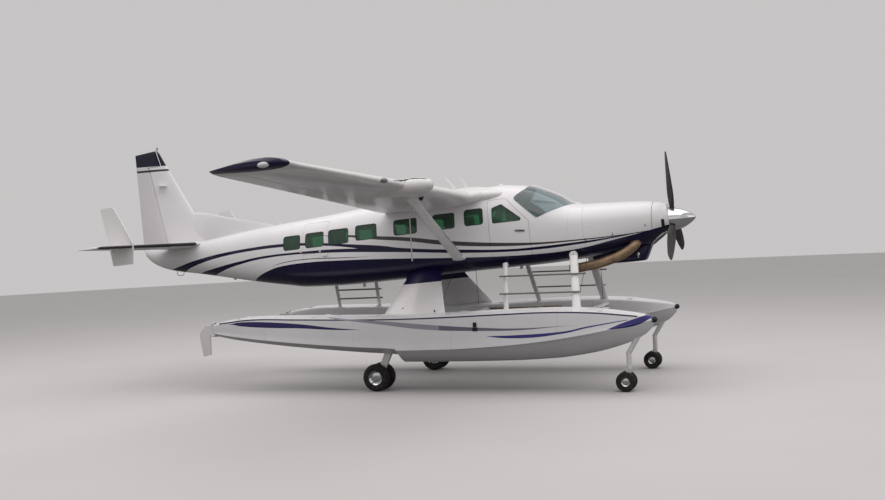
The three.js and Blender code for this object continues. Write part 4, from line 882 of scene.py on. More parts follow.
def set_in(outline, side, name, body, lean=0.0, datum=0.0, seal=0.014):
    """A pane in a hole of the skin, with its black rubber seal round it, which is also painted shade of the
    reveal
    """
    rim = skin_patch(drawn_in(outline, 0.0005), side, 0.001, lean, datum)
    middle = cut_outline(rim, drawn_in(outline, seal), side, lean, datum)
    bmesh.ops.delete(rim, geom=middle, context="FACES")
    edge = piece(settled(rim, 0.001), "seal_" + name, body, [seal_rubber])
    pane = skin_patch(drawn_in(outline, seal - 0.003), side, 0.007, lean, datum)
    sheet = piece(pane, "pane_" + name, body, [window_acrylic])
    thicken(edge, 0.012)
    thicken(sheet, 0.006)


# Black rubber strip: dull, faintly dusty
seal_rubber = finish("seal_rubber", "101012", {"Roughness": 0.65})
dust = add_node(seal_rubber, "TexNoise", {"Scale": 12.0, "Detail": 4.0})
add_node(seal_rubber, "ValToRGB", {"Fac": dust}, feeds="Base Color", shades=((0, "0C0C0E"), (1, "1C1C1F")))


def acrylic(name, tint, dark):
    """Tinted stretched acrylic: glossy and clear, faintly wavy, so that reflections bend in it"""
    sheet = finish(name, tint, {"Roughness": 0.03, "Transmission Weight": 0.9, "IOR": 1.49})
    wave = add_node(sheet, "TexNoise", {"Scale": 1.6, "Detail": 1.0})
    add_node(sheet, "ValToRGB", {"Fac": wave}, feeds="Base Color", shades=((0, dark), (1, tint)))
    add_node(sheet, "Bump", {"Height": wave, "Distance": 0.004}, feeds="Normal")
    return sheet


window_acrylic = acrylic("tinted_acrylic", "7FB596", "69A383")
screen_acrylic = acrylic("windshield_acrylic", "C4D6D8", "B0C6CA")
upper_hinges = {
    "airstair_upper": (-1, airstair_datum, airstair_halves[0][2]),
    "cargo_door_upper": (1, cargo_datum, cargo_halves[0][2]),
}
for side, name in both_sides:
    for number, outline in enumerate(window_outlines):
        body, lean, datum = "airframe", 0.0, 0.0
        for door, (door_side, hinge, taper) in upper_hinges.items():
            if side == door_side and number in ((1,) if side < 0 else (2, 3)):
                body, lean, datum = door, -side * taper, side * hinge
        set_in(outline, side, "cabin_%s_%d" % (name, number + 1), body, lean, datum)
    glass = skin_patch(drawn_in(windshield_outline, 0.003), side, 0.004)
    sheet = piece(glass, "windshield_" + name, "airframe", [screen_acrylic],
                  replaces=["windshield"] if side < 0 else ())
    thicken(sheet, 0.009)
    rim = skin_patch(drawn_in(windshield_outline, 0.0005), side, 0.0)
    middle = cut_outline(rim, drawn_in(windshield_outline, 0.007), side)
    bmesh.ops.delete(rim, geom=middle, context="FACES")
    edge = piece(settled(rim, -0.002), "windshield_frame_" + name, "airframe", [skin_enamel])
    thicken(edge, 0.012)
post_line = [on_skin(Vector((x, 0.0, 2.0)), 0.004) for x in stops(-2.19, -3.16, 0.06)]
post = tube(bmesh.new(), post_line, 0.032, 12, tilt=(0, 1, 0), flat=0.62)
piece(post, "windshield_post", "airframe", [skin_enamel])

# Doors: hollow pressed doors of the same skin, trimmed inside, each with a flush handle. The crew
# doors open forwards on hinges at their front edge; the rear doors open in two halves.


def door(name, outline, side, lean, datum, holes):
    leaf = skin_patch(drawn_in(outline, 0.006), side, 0.0, lean, datum)
    for hole in holes:
        inside = cut_outline(leaf, hole, side, lean, datum)
        bmesh.ops.delete(leaf, geom=inside, context="FACES")
    made = piece(settled(leaf), name + "_leaf", name, [skin_enamel, cabin_trim],
                 replaces=[name])
    thicken(made, 0.03, inner=1)


crew_window = rounded([(-3.82, 0.60), (-3.62, 0.66), (-3.23, 0.34), (-3.25, 0.29), (-3.82, 0.29)], 0.04, 4)
for side, name in both_sides:
    door("crew_door_" + name, crew_door_outline, side, 0.0, 0.0, [crew_window])
    set_in(crew_window, side, "crew_" + name, "crew_door_" + name, seal=0.017)
for halves, side, datum, numbers in (
        (airstair_halves, -1, airstair_datum, (1,)), (cargo_halves, 1, cargo_datum, (2, 3))):
    for name, corners, taper in halves:
        holes = [window_outlines[k] for k in numbers] if "upper" in name else []
        door(name, rounded(corners, 0.03), side, -side * taper, side * datum, holes)

# Die-cast handles in satin grey lacquer, a little worn where hands pull them
handle_grey = finish("handle_lacquer", "5B585B", {"Roughness": 0.45, "Metallic": 0.3})
rubbed = add_node(handle_grey, "TexNoise", {"Scale": 25.0, "Detail": 4.0})
add_node(handle_grey, "ValToRGB", {"Fac": rubbed}, feeds="Base Color", shades=((0, "4C494D"), (1, "6A676A")))
# Cast plates left in bare grey-white alloy
white_plate = finish("cast_alloy", "C9C7C8", {"Roughness": 0.5, "Metallic": 0.2})
pits = add_node(white_plate, "TexNoise", {"Scale": 60.0, "Detail": 3.0})
add_node(white_plate, "Bump", {"Height": pits, "Distance": 0.0006}, feeds="Normal")
handles = [
    # body, side, rear, front, height of its rear and of its front
    ("crew_door_right", -1, -3.376, -3.172, 0.108, 0.086),
    ("crew_door_left", 1, -3.376, -3.172, 0.108, 0.086),
    ("airstair_lower", -1, -7.62, -7.53, 0.04, 0.04),
    ("cargo_door_lower", 1, -7.50, -7.38, -0.08, -0.08),
]
for body, side, rear, front, low, high in handles:
    grip = bmesh.new()
    line = [on_skin(Vector((rear + (front - rear) * k / 6, side, 0.05 + low + (high - low) * k / 6)), -0.006)
            for k in range(7)]
    line = [Vector((p.x, p.y, low + (high - low) * k / 6)) for k, p in enumerate(line)]
    tube(grip, line, [0.010, 0.018, 0.019, 0.019, 0.019, 0.018, 0.010], 10)
    piece(grip, "handle_" + body, body, [handle_grey if "crew" in body else white_plate])

# Two cast latch plates stand across the airstair's stripe, the rear one beside the joint
for number, (x, z, body) in enumerate(((-8.165, 0.178, "airframe"), (-7.690, 0.143, "airstair_upper"))):
    rear, front, low, high = x - 0.022, x + 0.022, z - 0.02, z + 0.02
    plate_outline = rounded([(rear, low), (front, low), (front, high), (rear, high)], 0.008, 3)
    latch = piece(skin_patch(plate_outline, -1, -0.001, step=0.01), "airstair_latch_%d" % number, body,
                  [white_plate])
    thicken(latch, 0.004)

# Cabin floor: aluminium honeycomb under wool carpet, in charcoal loops
carpet = finish("loop_carpet", "3B3C40", {"Roughness": 0.95, "Sheen Weight": 0.3})
loops = add_node(carpet, "TexNoise", {"Scale": 45.0, "Detail": 5.0})
add_node(carpet, "ValToRGB", {"Fac": loops}, feeds="Base Color", shades=((0, "2C2D31"), (1, "4C4D52")))
add_node(carpet, "Bump", {"Height": loops, "Distance": 0.004}, feeds="Normal")

# Wing: a cantilever box of riveted aluminium ribs and skins, sprayed white, held by one strut a
# side. Flaps and ailerons hang behind it, and the drooped tips are navy.
wing_sections = [
    # span, leading edge, chord, height, thickness share, twist in degrees
    (0.45, -3.785, 2.380, 0.908, 0.15, 2.6), (0.52, -3.820, 2.330, 0.905, 0.15, 2.6),
    (0.95, -4.145, 1.985, 0.866, 0.17, 2.6),
    (7.60, -4.372, 1.242, 1.138, 0.125, 0.2), (7.78, -4.385, 1.228, 1.158, 0.136, 0.1),
    (7.89, -4.460, 1.140, 1.178, 0.126, 0.0), (7.935, -4.640, 0.940, 1.184, 0.07, 0.0),
]


def between(table, span):
    rows = sorted(table)
    for low, high in zip(rows, rows[1:]):
        if span <= high[0] or high is rows[-1]:
            share = (span - low[0]) / (high[0] - low[0])
            return [a + share * (b - a) for a, b in zip(low, high)][1:]


def foil_point(section, span, share, upper, camber=0.02):
    """A point of an aerofoil at a share of its chord, on its upper or lower side"""
    leading, chord, height, thick, twist = section
    u = min(max(share, 0.0), 1.0)
    half = 5 * thick * (
        0.2969 * math.sqrt(u) - 0.126 * u - 0.3516 * u * u + 0.2843 * u ** 3 - 0.1015 * u ** 4)
    half += 0.0012 * u
    if u < 0.4:
        line = camber / 0.16 * (0.8 * u - u * u)
    else:
        line = camber / 0.36 * (0.2 + 0.8 * u - u * u)
    up = (line + (half if upper else -half)) * chord
    turn = math.radians(twist)
    return Vector((leading - u * chord * math.cos(turn) + up * math.sin(turn), span,
                   height - u * chord * math.sin(turn) + up * math.cos(turn)))


def foil_ring(section, span, start, end, camber=0.02, nose=0.0):
    """A closed ring between two shares of the chord, its front round where nose is its radius"""
    count = 26
    shares = [start + (end - start) * (1 - math.cos(math.pi * k / count)) / 2 for k in range(count + 1)]
    upper = [foil_point(section, span, s, True, camber) for s in reversed(shares)]
    lower = [foil_point(section, span, s, False, camber) for s in shares]
    if start <= 0:
        return upper + lower[1:]
    if not nose:
        return upper + lower
    middle = (upper[-1] + lower[0]) / 2
    front = []
    for step in range(1, 12):
        turn = math.pi / 2 - math.pi * step / 12
        front.append(middle + nose * Vector((math.cos(turn), 0, math.sin(turn))))
    return upper + front + lower


# The gaps at a moving surface: ahead of it and at each of its ends. Then the flap's and the
# aileron's inner and outer span and share of the chord, and the span where the tip's navy starts
gap, end_gap = 0.008, 0.022
flap_zone, aileron_zone = (0.975, 5.580, 0.70), (5.602, 7.560, 0.74)
tip_paint = 7.80


def nose_at(span, zone_share):
    section = between(wing_sections, span)
    up = foil_point(section, span, zone_share, True)
    down = foil_point(section, span, zone_share, False)
    return (up - down).length / 2 - 0.001


def wing_ring(span, start=0.0, end=1.0, nose=0.0):
    return foil_ring(between(wing_sections, span), span, start, end, nose=nose)


def on_side(shape, side):
    """Mirrors a shape drawn on the left when its side is the right"""
    bmesh.ops.scale(shape, verts=shape.verts, vec=(1, side, 1))
    return shape


# Sprayed white enamel: gloss, in soft patches about a metre wide, over faintly rippled skins
white_enamel = finish("white_enamel", "E6E5E6", {
    "Roughness": 0.3, "Coat Weight": 0.35, "Coat Roughness": 0.1})
patches = add_node(white_enamel, "TexNoise", {"Scale": 0.8, "Detail": 5.0, "Roughness": 0.6})
add_node(white_enamel, "ValToRGB", {"Fac": patches}, feeds="Base Color",
         shades=((0.3, "DEDCDD"), (0.62, "E9E7E8")))
ripple = add_node(white_enamel, "TexNoise", {"Scale": 2.6, "Detail": 1.0})
add_node(white_enamel, "Bump", {"Height": ripple, "Distance": 0.005, "Strength": 0.25}, feeds="Normal")

# The wing's own enamel also shows its skin joints: fine dark lines across it, about a metre apart
# and drawn 4 mm wide so that they show
wing_enamel = white_enamel.copy()
wing_enamel.name = "wing_enamel"
half_skin, half_joint = 0.52, 0.002
split = add_node(wing_enamel, "SeparateXYZ")
bay = add_node(wing_enamel, "Math", {0: split.outputs["Y"], 1: half_skin}, operation="PINGPONG")
joint = add_node(wing_enamel, "Math", {0: bay, 1: half_joint}, operation="LESS_THAN")
shade = add_node(wing_enamel, "Math", {0: joint, 1: 0.25}, operation="MULTIPLY")
base = next(n for n in wing_enamel.node_tree.nodes if n.bl_idname == "ShaderNodeValToRGB")
takes = {0: shade, 6: base, 7: linear("4A4A50")}
add_node(wing_enamel, "Mix", takes, feeds="Base Color", data_type="RGBA")

for side, name in both_sides:
    panel = bmesh.new()
    plain = [(0.45, flap_zone[0]), (flap_zone[1], aileron_zone[0]), (aileron_zone[1], 7.60)]
    for inner, outer in plain:
        slab(panel, stops(inner, outer, 0.25), wing_ring)
    for zone, room in ((flap_zone, gap), (aileron_zone, nose_at(5.6, aileron_zone[2]) + gap)):
        slab(panel, stops(zone[0], zone[1], 0.5), lambda s, zone=zone, room=room: wing_ring(
            s, end=zone[2] - room / between(wing_sections, s)[1]))
    # The last third of a metre is drawn round in plan and thins to its edge
    tip_spans = [7.60, 7.66, 7.72, 7.76, 7.80, 7.83, 7.86, 7.885, 7.905, 7.92, 7.93, 7.935]
    slab(panel, tip_spans, wing_ring)
    for face in panel.faces:
        if face.calc_center_median().y > tip_paint:
            face.material_index = 1
    piece(on_side(panel, side), "wing_panel_" + name, "airframe", [wing_enamel, navy_enamel],
          replaces=["wing_" + name], sharp=40)

    moving = bmesh.new()
    flap_spans = stops(flap_zone[0] + end_gap, flap_zone[1] - end_gap, 0.5)
    slab(moving, flap_spans, lambda s: wing_ring(s, flap_zone[2]))
    piece(on_side(moving, side), "flap_skin_" + name, "flap_" + name, [wing_enamel],
          replaces=["flap_" + name])

    moving = bmesh.new()
    aileron_spans = stops(aileron_zone[0] + end_gap, aileron_zone[1] - end_gap, 0.5)
    slab(moving, aileron_spans, lambda s: wing_ring(s, aileron_zone[2], nose=nose_at(s, aileron_zone[2])))
    piece(on_side(moving, side), "aileron_skin_" + name, "aileron_" + name, [wing_enamel],
          replaces=["aileron_" + name])

# Weather radar pod: a glass-fibre teardrop, slung on the right wing's leading edge, with a dark
# line drawn along the leading edge outboard of it and on to its top.
pod_profile = [(-3.790, 0.0), (-3.805, 0.055), (-3.850, 0.105), (-3.950, 0.148), (-4.120, 0.168),
               (-4.420, 0.168), (-4.800, 0.130), (-5.150, 0.060), (-5.300, 0.004)]
pod = bmesh.new()
profile_line = along_points([Vector((x, 0, r)) for x, r in pod_profile], 40)
spun(pod, [(p.x, 0, max(p.z, 0.0)) for p in profile_line], (1, 0, 0), 48)
bmesh.ops.scale(pod, verts=pod.verts, vec=(1, 1, 0.88))
bmesh.ops.translate(pod, verts=pod.verts, vec=(0, -4.0, 0.948))
bmesh.ops.remove_doubles(pod, verts=pod.verts, dist=1e-3)
piece(pod, "radar_fairing", "airframe", [white_enamel], replaces=["radar_pod"], sharp=50)
joint = bmesh.new()
pod_dark_line = [(-4.30, -4.80, 1.030), (-4.288, -4.50, 1.042), (-4.286, -4.20, 1.060), (-4.20, -4.09, 1.073),
            (-4.10, -4.089, 1.073), (-3.95, -4.078, 1.060), (-3.87, -4.062, 1.038)]
dark_line_points = along_points([Vector(p) for p in pod_dark_line], 40)
tube(joint, dark_line_points, [0.004 + 0.006 * min(1, k / 5, (40 - k) / 14) for k in range(41)], 8)
piece(joint, "radar_dark_line", "airframe", [black_primer_and_shade])

# Leading-edge probe: a small housing of anodised aluminium, mid grey and faintly brushed
probe_grey = finish("anodised_housing", "85848A", {"Roughness": 0.45, "Metallic": 0.3})
brushed = add_node(probe_grey, "TexNoise", {"Scale": 30.0, "Detail": 4.0})
add_node(probe_grey, "ValToRGB", {"Fac": brushed}, feeds="Base Color", shades=((0, "77767C"), (1, "929198")))
probe = egg((0.045, 0.13, 0.042), (-4.285, -4.93, 1.030), 20, 12)
piece(probe, "edge_probe", "airframe", [probe_grey])

# Root fairings: smooth glass-fibre caps that carry the leading edge on to the cabin's shoulder
for side, name in both_sides:
    cap = egg((0.40, 0.205, 0.135), (-3.99, side * 0.56, 0.865), 40, 24)
    piece(cap, "root_fairing_" + name, "airframe", [white_enamel], sharp=60)

# Wing struts: streamlined aluminium tubes from the belly's side up to the main spar, with a pressed
# cuff at each end. The front edge of each is bright.
ahead = Vector((1, 0, 0))


def blade_tube(shape, foot, head, foot_chord, head_chord, thick, steps=24):
    """A streamlined tube between two points: wide along the aircraft, thin across"""
    axis = (head - foot).normalized()
    wide = (ahead - axis * ahead.dot(axis)).normalized()
    thin = axis.cross(wide)

    def ring_at(share):
        chord = foot_chord + (head_chord - foot_chord) * share
        line = []
        for c, s in round_turn(steps):
            taper = 1.0 - 0.28 * (1 - c) / 2
            line.append(foot.lerp(head, share) + wide * c * chord / 2 + thin * s * (thick / 2) * taper)
        return line

    slab(shape, stops(0, 1, 0.1), ring_at)


# Clear polycarbonate of lamp lenses: colourless and glossy, pale from the lamp's white bowl
clear_lens = finish("clear_lens", "F4F6F7", {"Roughness": 0.08, "Transmission Weight": 0.1, "IOR": 1.58})
flutes = add_node(clear_lens, "TexWave", {"Scale": 40.0}, bands_direction="X")
add_node(clear_lens, "Bump", {"Height": flutes, "Distance": 0.001}, feeds="Normal")
# The flutes are also painted into the colour, as faint bands of highlight and shade
add_node(clear_lens, "ValToRGB", {"Fac": flutes}, feeds="Base Color", shades=((0, "EDF0F2"), (1, "FAFBFB")))


def add_plate(shape, outline, y, thickness):
    """Adds a flat upright plate: its outline, where its right face stands, its thickness"""
    face = shape.faces.new([shape.verts.new((x, y, z)) for x, z in outline])
    grown = bmesh.ops.extrude_face_region(shape, geom=[face])["geom"]
    bmesh.ops.translate(shape, verts=points_in(grown), vec=(0, thickness, 0))


for side, name in both_sides:
    head = Vector((-4.675, side * 2.870, 0.838))
    foot = Vector((-4.588, side * 0.830, -0.330))
    strut = bmesh.new()
    blade_tube(strut, foot.lerp(head, 0.005), head.lerp(foot, -0.02), 0.235, 0.195, 0.062)
    piece(strut, "strut_" + name, "airframe", [white_enamel],
          replaces=["wing_strut_" + name])
    cuffs = bmesh.new()
    blade_tube(cuffs, foot.lerp(head, 0.0), foot.lerp(head, 0.045), 0.285, 0.245, 0.085)
    blade_tube(cuffs, head.lerp(foot, 0.045), head.lerp(foot, -0.022), 0.20, 0.215, 0.078)
    piece(cuffs, "strut_cuffs_" + name, "airframe", [white_enamel])
    bright = bmesh.new()
    front = [foot.lerp(head, 0.05 + 0.885 * k / 20) + ahead * (0.1165 - 0.0185 * k / 20) for k in range(21)]
    tube(bright, front, 0.0075, 8)
    piece(bright, "strut_edge_" + name, "airframe", [polished_metal])
    # A black plate stands ahead of the strut's head, under the wing
    dark_plate = bmesh.new()
    corners = rounded([(-4.548, 0.892), (-4.387, 0.884), (-4.455, 0.775), (-4.480, 0.775)], 0.012, 3)
    add_plate(dark_plate, corners, side * 2.90 - 0.025, 0.05)
    piece(dark_plate, "strut_dark_plate_" + name, "airframe", [blade_black])

    # Tip light: a clear oval lens on a navy base, let into the end of the wing
    lens = egg((0.098, 0.055, 0.044), (-4.742, side * 7.905, 1.170), 28, 14)
    piece(lens, "tip_light_" + name, "airframe", [clear_lens])

# Tail surfaces: fin with a long dorsal fillet, rudder with a horn that balances it, stabilizer
# with a black rubber boot, elevators and two finlets, all riveted aluminium under enamel.
fin_sections = [
    # height, leading edge, trailing edge, thickness share
    (0.640, -10.950, -12.670, 0.11), (1.385, -11.205, -12.670, 0.11), (2.560, -11.835, -12.670, 0.11),
    (2.880, -12.000, -12.670, 0.10), (2.925, -12.045, -12.670, 0.07), (2.945, -12.080, -12.670, 0.04),
]


def rudder_hinge(height):
    return -12.010 - 0.335 * (height - 0.742) / (2.520 - 0.742)


def tail_foil(section, span, start_x, end_x, nose):
    """A ring of a plain aerofoil between two places along the aircraft, or its own edges"""
    leading, chord = section[:2]
    start = 0.0 if start_x is None else (leading - start_x) / chord
    end = 1.0 if end_x is None else (leading - end_x) / chord
    return foil_ring(section, span, start, end, 0.0, nose)


def fin_ring(height, start_x=None, end_x=None, nose=0.0):
    leading, trailing, thick = between(fin_sections, height)
    ring = tail_foil((leading, leading - trailing, 0.0, thick, 0.0), 0.0, start_x, end_x, nose)
    return [Vector((p.x, p.z, height)) for p in ring]


def horn_front(height):
    return -12.010 - 0.115 * (height - 2.575) / 0.385


# The fin's enamel: white, with a navy cap and a thin dark stripe below it, which lean with the
# aircraft. The rudder is a shade greyer than the fin
fin_edges = {
    "cap_foot": [(-6.50, 4.993), (-5.0, 4.971)],
    "line_top": [(-6.50, 4.910), (-5.0, 4.897)],
    "line_foot": [(-6.50, 4.857), (-5.0, 4.857)],
    "all": [(-6.50, 5.9), (-5.0, 5.9)],
}
fin_bands = [("0E0E27", "all", "cap_foot", -6.6, -4.0), ("3A3436", "line_top", "line_foot", -6.6, -4.0)]
fin_enamel = striped_enamel("fin_enamel", "E8E7EA", fin_edges, fin_bands, 4.0, 6.0, 0.0)
rudder_enamel = striped_enamel("rudder_enamel", "DCDADE", fin_edges, fin_bands, 4.0, 6.0, 0.0)
cove = 0.068
fin = bmesh.new()
slab(fin, stops(0.64, 2.557, 0.12), lambda h: fin_ring(h, None, rudder_hinge(h) + cove))
cap_heights = [2.65, 2.75, 2.82, 2.88, 2.90, 2.925, 2.94, 2.945]
slab(fin, [2.557] + cap_heights, lambda h: fin_ring(h, None, horn_front(h) + 0.014))
dorsal_sections = [
    # station, top, half thickness
    (-9.170, 0.885, 0.012), (-9.600, 0.985, 0.018), (-10.220, 1.150, 0.026), (-10.630, 1.270, 0.034),
    (-11.190, 1.388, 0.052), (-11.420, 1.392, 0.062),
]
dorsal_at = faired(dorsal_sections)


def dorsal_ring(station):
    top, half = dorsal_at(station)
    line = []
    for c, s in round_turn(24):
        rise = (s + 1) / 2
        line.append(Vector((station, half * c * (1.6 - 0.9 * rise), 0.66 + (top - 0.66) * rise ** 0.8)))
    return line


slab(fin, stops(-9.17, -11.42, 0.11), dorsal_ring)
piece(fin, "fin_skin", "airframe", [fin_enamel], replaces=["fin"], sharp=42)

blade = bmesh.new()
slab(blade, stops(0.742, 2.56, 0.15), lambda h: fin_ring(
    h, rudder_hinge(h), None, nose=0.060 + (0.038 - 0.060) * (h - 0.742) / 1.778))
slab(blade, [2.575] + cap_heights, lambda h: fin_ring(h, horn_front(h)))
slab(blade, [2.556, 2.578], lambda h: fin_ring(h, rudder_hinge(2.52)))
# The top of the rudder falls away a little towards its trailing edge
for vert in blade.verts:
    if vert.co.z > 2.82:
        vert.co.z -= 0.034 * min(1, (vert.co.z - 2.82) / 0.1) * min(1, max(0, (-12.10 - vert.co.x) / 0.57))
piece(blade, "rudder_skin", "rudder", [rudder_enamel], replaces=["rudder"], sharp=42)
bead = bmesh.new()
for side in (-1, 1):
    strip = []
    for h in (2.572, 2.62, 2.67, 2.72, 2.77, 2.82, 2.87, 2.92, 2.932):
        half = max(abs(p.y) for p in fin_ring(h, horn_front(h) + 0.05, None))
        strip.append(Vector((horn_front(h) + 0.05, side * (half - 0.001), h)))
    tube(bead, strip, 0.008, 8)
piece(bead, "horn_edge", "airframe", [white_enamel])

stabilizer_sections = [
    # span, leading edge, chord, height, thickness share, twist
    (0.0, -10.960, 1.430, 0.655, 0.10, 0.0), (3.060, -11.360, 0.640, 0.655, 0.10, 0.0),
    (3.100, -11.405, 0.590, 0.655, 0.075, 0.0), (3.125, -11.460, 0.500, 0.655, 0.04, 0.0),
]
elevator_hinge = -11.850


def tail_ring(span, start_x=None, end_x=None, nose=0.0):
    return tail_foil(between(stabilizer_sections, span), span, start_x, end_x, nose)


def elevator_ring(span):
    """The elevator's round nose thins from its root to its tip"""
    root, tip = 0.162, 2.988
    return tail_ring(span, elevator_hinge, None, 0.048 + (0.016 - 0.048) * (span - root) / (tip - root))


# Pneumatic boot: black rubber glued round the leading edge, dull with a dusty bloom
boot_rubber = finish("boot_rubber", "17171A", {"Roughness": 0.6})
bloom = add_node(boot_rubber, "TexNoise", {"Scale": 8.0, "Detail": 5.0})
add_node(boot_rubber, "ValToRGB", {"Fac": bloom}, feeds="Base Color", shades=((0, "131315"), (1, "26262A")))

tailplane = bmesh.new()
for side in (-1, 1):
    half = bmesh.new()
    slab(half, stops(0.0, 0.18, 0.18), lambda s: tail_ring(s, None, -11.915))
    slab(half, stops(0.18, 3.0, 0.15), lambda s: tail_ring(s, None, elevator_hinge + 0.056))
    slab(half, [3.0, 3.03, 3.06, 3.08, 3.10, 3.115, 3.125], lambda s: tail_ring(s))
    for face in half.faces:
        middle = face.calc_center_median()
        leading = between(stabilizer_sections, middle.y)[0]
        if leading - middle.x < 0.075 and middle.y > 0.3 and len(face.verts) == 4:
            face.material_index = 1
    joined(tailplane, on_side(half, side))

# Finlets: flat plates with rounded edges, above and below the stabilizer
finlet_outline = rounded([(-11.25, 0.66), (-11.67, 1.52), (-11.99, 1.52), (-11.84, 0.66), (-11.79, 0.285),
                          (-11.31, 0.285)], 0.05, 4)
for side in (-1, 1):
    add_plate(tailplane, finlet_outline, side * 2.280 - 0.017, 0.034)
piece(tailplane, "tailplane", "airframe", [white_enamel, boot_rubber],
      replaces=["stabilizer"], sharp=42)
strips = bmesh.new()
for side in (-1, 1):
    for a, b in (((-11.252, 0.70), (-11.655, 1.50)), ((-11.306, 0.33), (-11.262, 0.62))):
        line = [Vector((a[0] + (b[0] - a[0]) * k / 8, side * 2.28, a[1] + (b[1] - a[1]) * k / 8))
                for k in range(9)]
        tube(strips, line, 0.0175, 12)
piece(strips, "finlet_edges", "airframe", [white_enamel])

for side, name in both_sides:
    moving = bmesh.new()
    slab(moving, stops(0.195, 2.988, 0.2), elevator_ring)
    bmesh.ops.bisect_plane(
        moving, geom=moving.verts[:] + moving.edges[:] + moving.faces[:], dist=1e-5,
        plane_co=(-11.94, 0.195, 0), plane_no=(-0.27, -0.5, 0), clear_outer=True)
    bmesh.ops.holes_fill(moving, edges=[e for e in moving.edges if e.is_boundary], sides=0)
    piece(on_side(moving, side), "elevator_skin_" + name, "elevator", [rudder_enamel],
          replaces=["elevator_" + name], sharp=42)

# Floats: riveted aluminium hulls with a V bottom, a step and a crowned deck, sprayed white with
# blue and mauve stripes. Each holds a main wheel well that opens through the bottom.
float_y = 1.6
float_sections = [
    # station, keel, chine, deck edge, half beam at the chine, half beam at the deck
    (5.760, 1.180, 1.290, 1.335, 0.070, 0.060), (5.600, 1.030, 1.265, 1.375, 0.190, 0.165),
    (5.200, 0.850, 1.190, 1.430, 0.320, 0.290), (4.600, 0.700, 1.085, 1.490, 0.410, 0.375),
    (3.900, 0.610, 0.985, 1.512, 0.450, 0.410), (3.000, 0.572, 0.900, 1.495, 0.465, 0.420),
    (1.900, 0.560, 0.850, 1.465, 0.470, 0.425), (0.905, 0.560, 0.840, 1.452, 0.470, 0.425),
    (0.885, 0.690, 0.870, 1.452, 0.462, 0.424), (0.000, 0.755, 0.915, 1.458, 0.440, 0.412),
    (-1.300, 0.860, 1.000, 1.482, 0.380, 0.365), (-2.300, 0.965, 1.085, 1.495, 0.300, 0.295),
    (-3.000, 1.060, 1.160, 1.440, 0.215, 0.215), (-3.360, 1.130, 1.205, 1.375, 0.130, 0.130),
]
float_at = faired(float_sections)
gunwale = 0.045


def float_ring(station):
    keel, chine, deck, chine_half, deck_half = float_at(station)
    crown = deck + 0.042 * deck_half / 0.425
    half = [(chine_half * s, keel + (chine - keel) * s ** 1.45)
            for s in (0.0, 0.12, 0.3, 0.5, 0.7, 0.88, 0.97)]
    half += [(chine_half + 0.006, chine - 0.008), (chine_half + 0.006, chine + 0.004)]
    side_half = chine_half * 0.35 + deck_half * 0.65
    for s in (0.08, 0.3, 0.6, 1.0):
        half.append((chine_half + (side_half - chine_half) * s, chine + (deck - gunwale - chine) * s))
    for degrees in (25, 50, 75):
        a = math.radians(degrees)
        half.append((side_half - 0.022 + 0.022 * math.cos(a), deck - gunwale + gunwale * math.sin(a)))
    half += [(deck_half * 0.82, deck + (crown - deck) * 0.35),
             (deck_half * 0.6, deck + (crown - deck) * 0.75),
             (deck_half * 0.3, crown), (0.0, crown + 0.004)]
    line = [Vector((station, -y, z)) for y, z in half]
    return line + [Vector((p.x, -p.y, p.z)) for p in reversed(line[1:-1])]


def shifted(shape, side):
    """Moves a shape drawn on the middle line out to its float"""
    bmesh.ops.translate(shape, verts=shape.verts, vec=(0, side * float_y, 0))
    return shape


def box(shape, size, middle):
    """Adds a plain box: its points"""
    made = bmesh.ops.create_cube(shape, size=1)["verts"]
    bmesh.ops.scale(shape, verts=made, vec=size)
    bmesh.ops.translate(shape, verts=made, vec=middle)
    return made


float_edges = {
    "lens_top": [(-3.1, 1.37), (-2.911, 1.387), (-2.647, 1.425), (-2.365, 1.432), (-1.833, 1.415),
                 (-1.199, 1.373), (-0.493, 1.294), (0.155, 1.24)],
    "lens_foot": [(-3.1, 1.369), (-2.911, 1.383), (-2.652, 1.35), (-2.371, 1.328), (-1.839, 1.304),
                  (-1.204, 1.289), (-0.495, 1.251), (0.155, 1.238)],
    "mauve_top": [(-0.57, 1.489), (0.589, 1.402), (1.802, 1.296), (2.62, 1.240), (3.262, 1.214),
                  (4.141, 1.238), (4.468, 1.252)],
    "mauve_foot": [(-0.57, 1.481), (0.585, 1.337), (1.797, 1.204), (2.62, 1.180), (3.26, 1.178),
                   (4.141, 1.232), (4.468, 1.251)],
    "blue_top": [(2.736, 1.081), (3.326, 1.092), (4.128, 1.135), (4.628, 1.221), (5.329, 1.319)],
    "blue_foot": [(2.736, 1.080), (3.323, 1.033), (4.126, 1.095), (4.627, 1.194), (5.328, 1.307)],
    "panel_top": [(4.98, 1.16), (5.614, 1.375), (5.8, 1.42)],
    "panel_foot": [(4.98, 1.159), (5.165, 1.162), (5.758, 1.334), (5.8, 1.35)],
    "edge_top": [(-3.4, 1.384), (-3.0, 1.429), (-2.3, 1.486), (-1.3, 1.473), (0.0, 1.449), (0.9, 1.443),
                 (1.9, 1.456), (3.0, 1.486), (3.9, 1.503), (4.6, 1.481), (5.2, 1.421), (5.76, 1.334)],
    "edge_foot": [(-3.4, 1.356), (-3.0, 1.401), (-2.3, 1.458), (-1.3, 1.445), (0.0, 1.421), (0.9, 1.415),
                  (1.9, 1.428), (3.0, 1.458), (3.9, 1.475), (4.6, 1.453), (5.2, 1.393), (5.76, 1.308)],
}
float_bands = [
    ("34324A", "edge_top", "edge_foot", -3.2, 5.5), ("9B96A2", "mauve_top", "mauve_foot", -0.57, 1.8),
    ("6E6A7C", "mauve_top", "mauve_foot", 1.8, 4.468), ("29265C", "lens_top", "lens_foot", -3.1, 0.155),
    ("36327A", "blue_top", "blue_foot", 2.736, 5.329), ("36327A", "panel_top", "panel_foot", 4.98, 5.78),
]
float_enamel = striped_enamel("float_enamel", "E4E4E7", float_edges, float_bands, 0.5, 1.6, 0.3, 1.6)
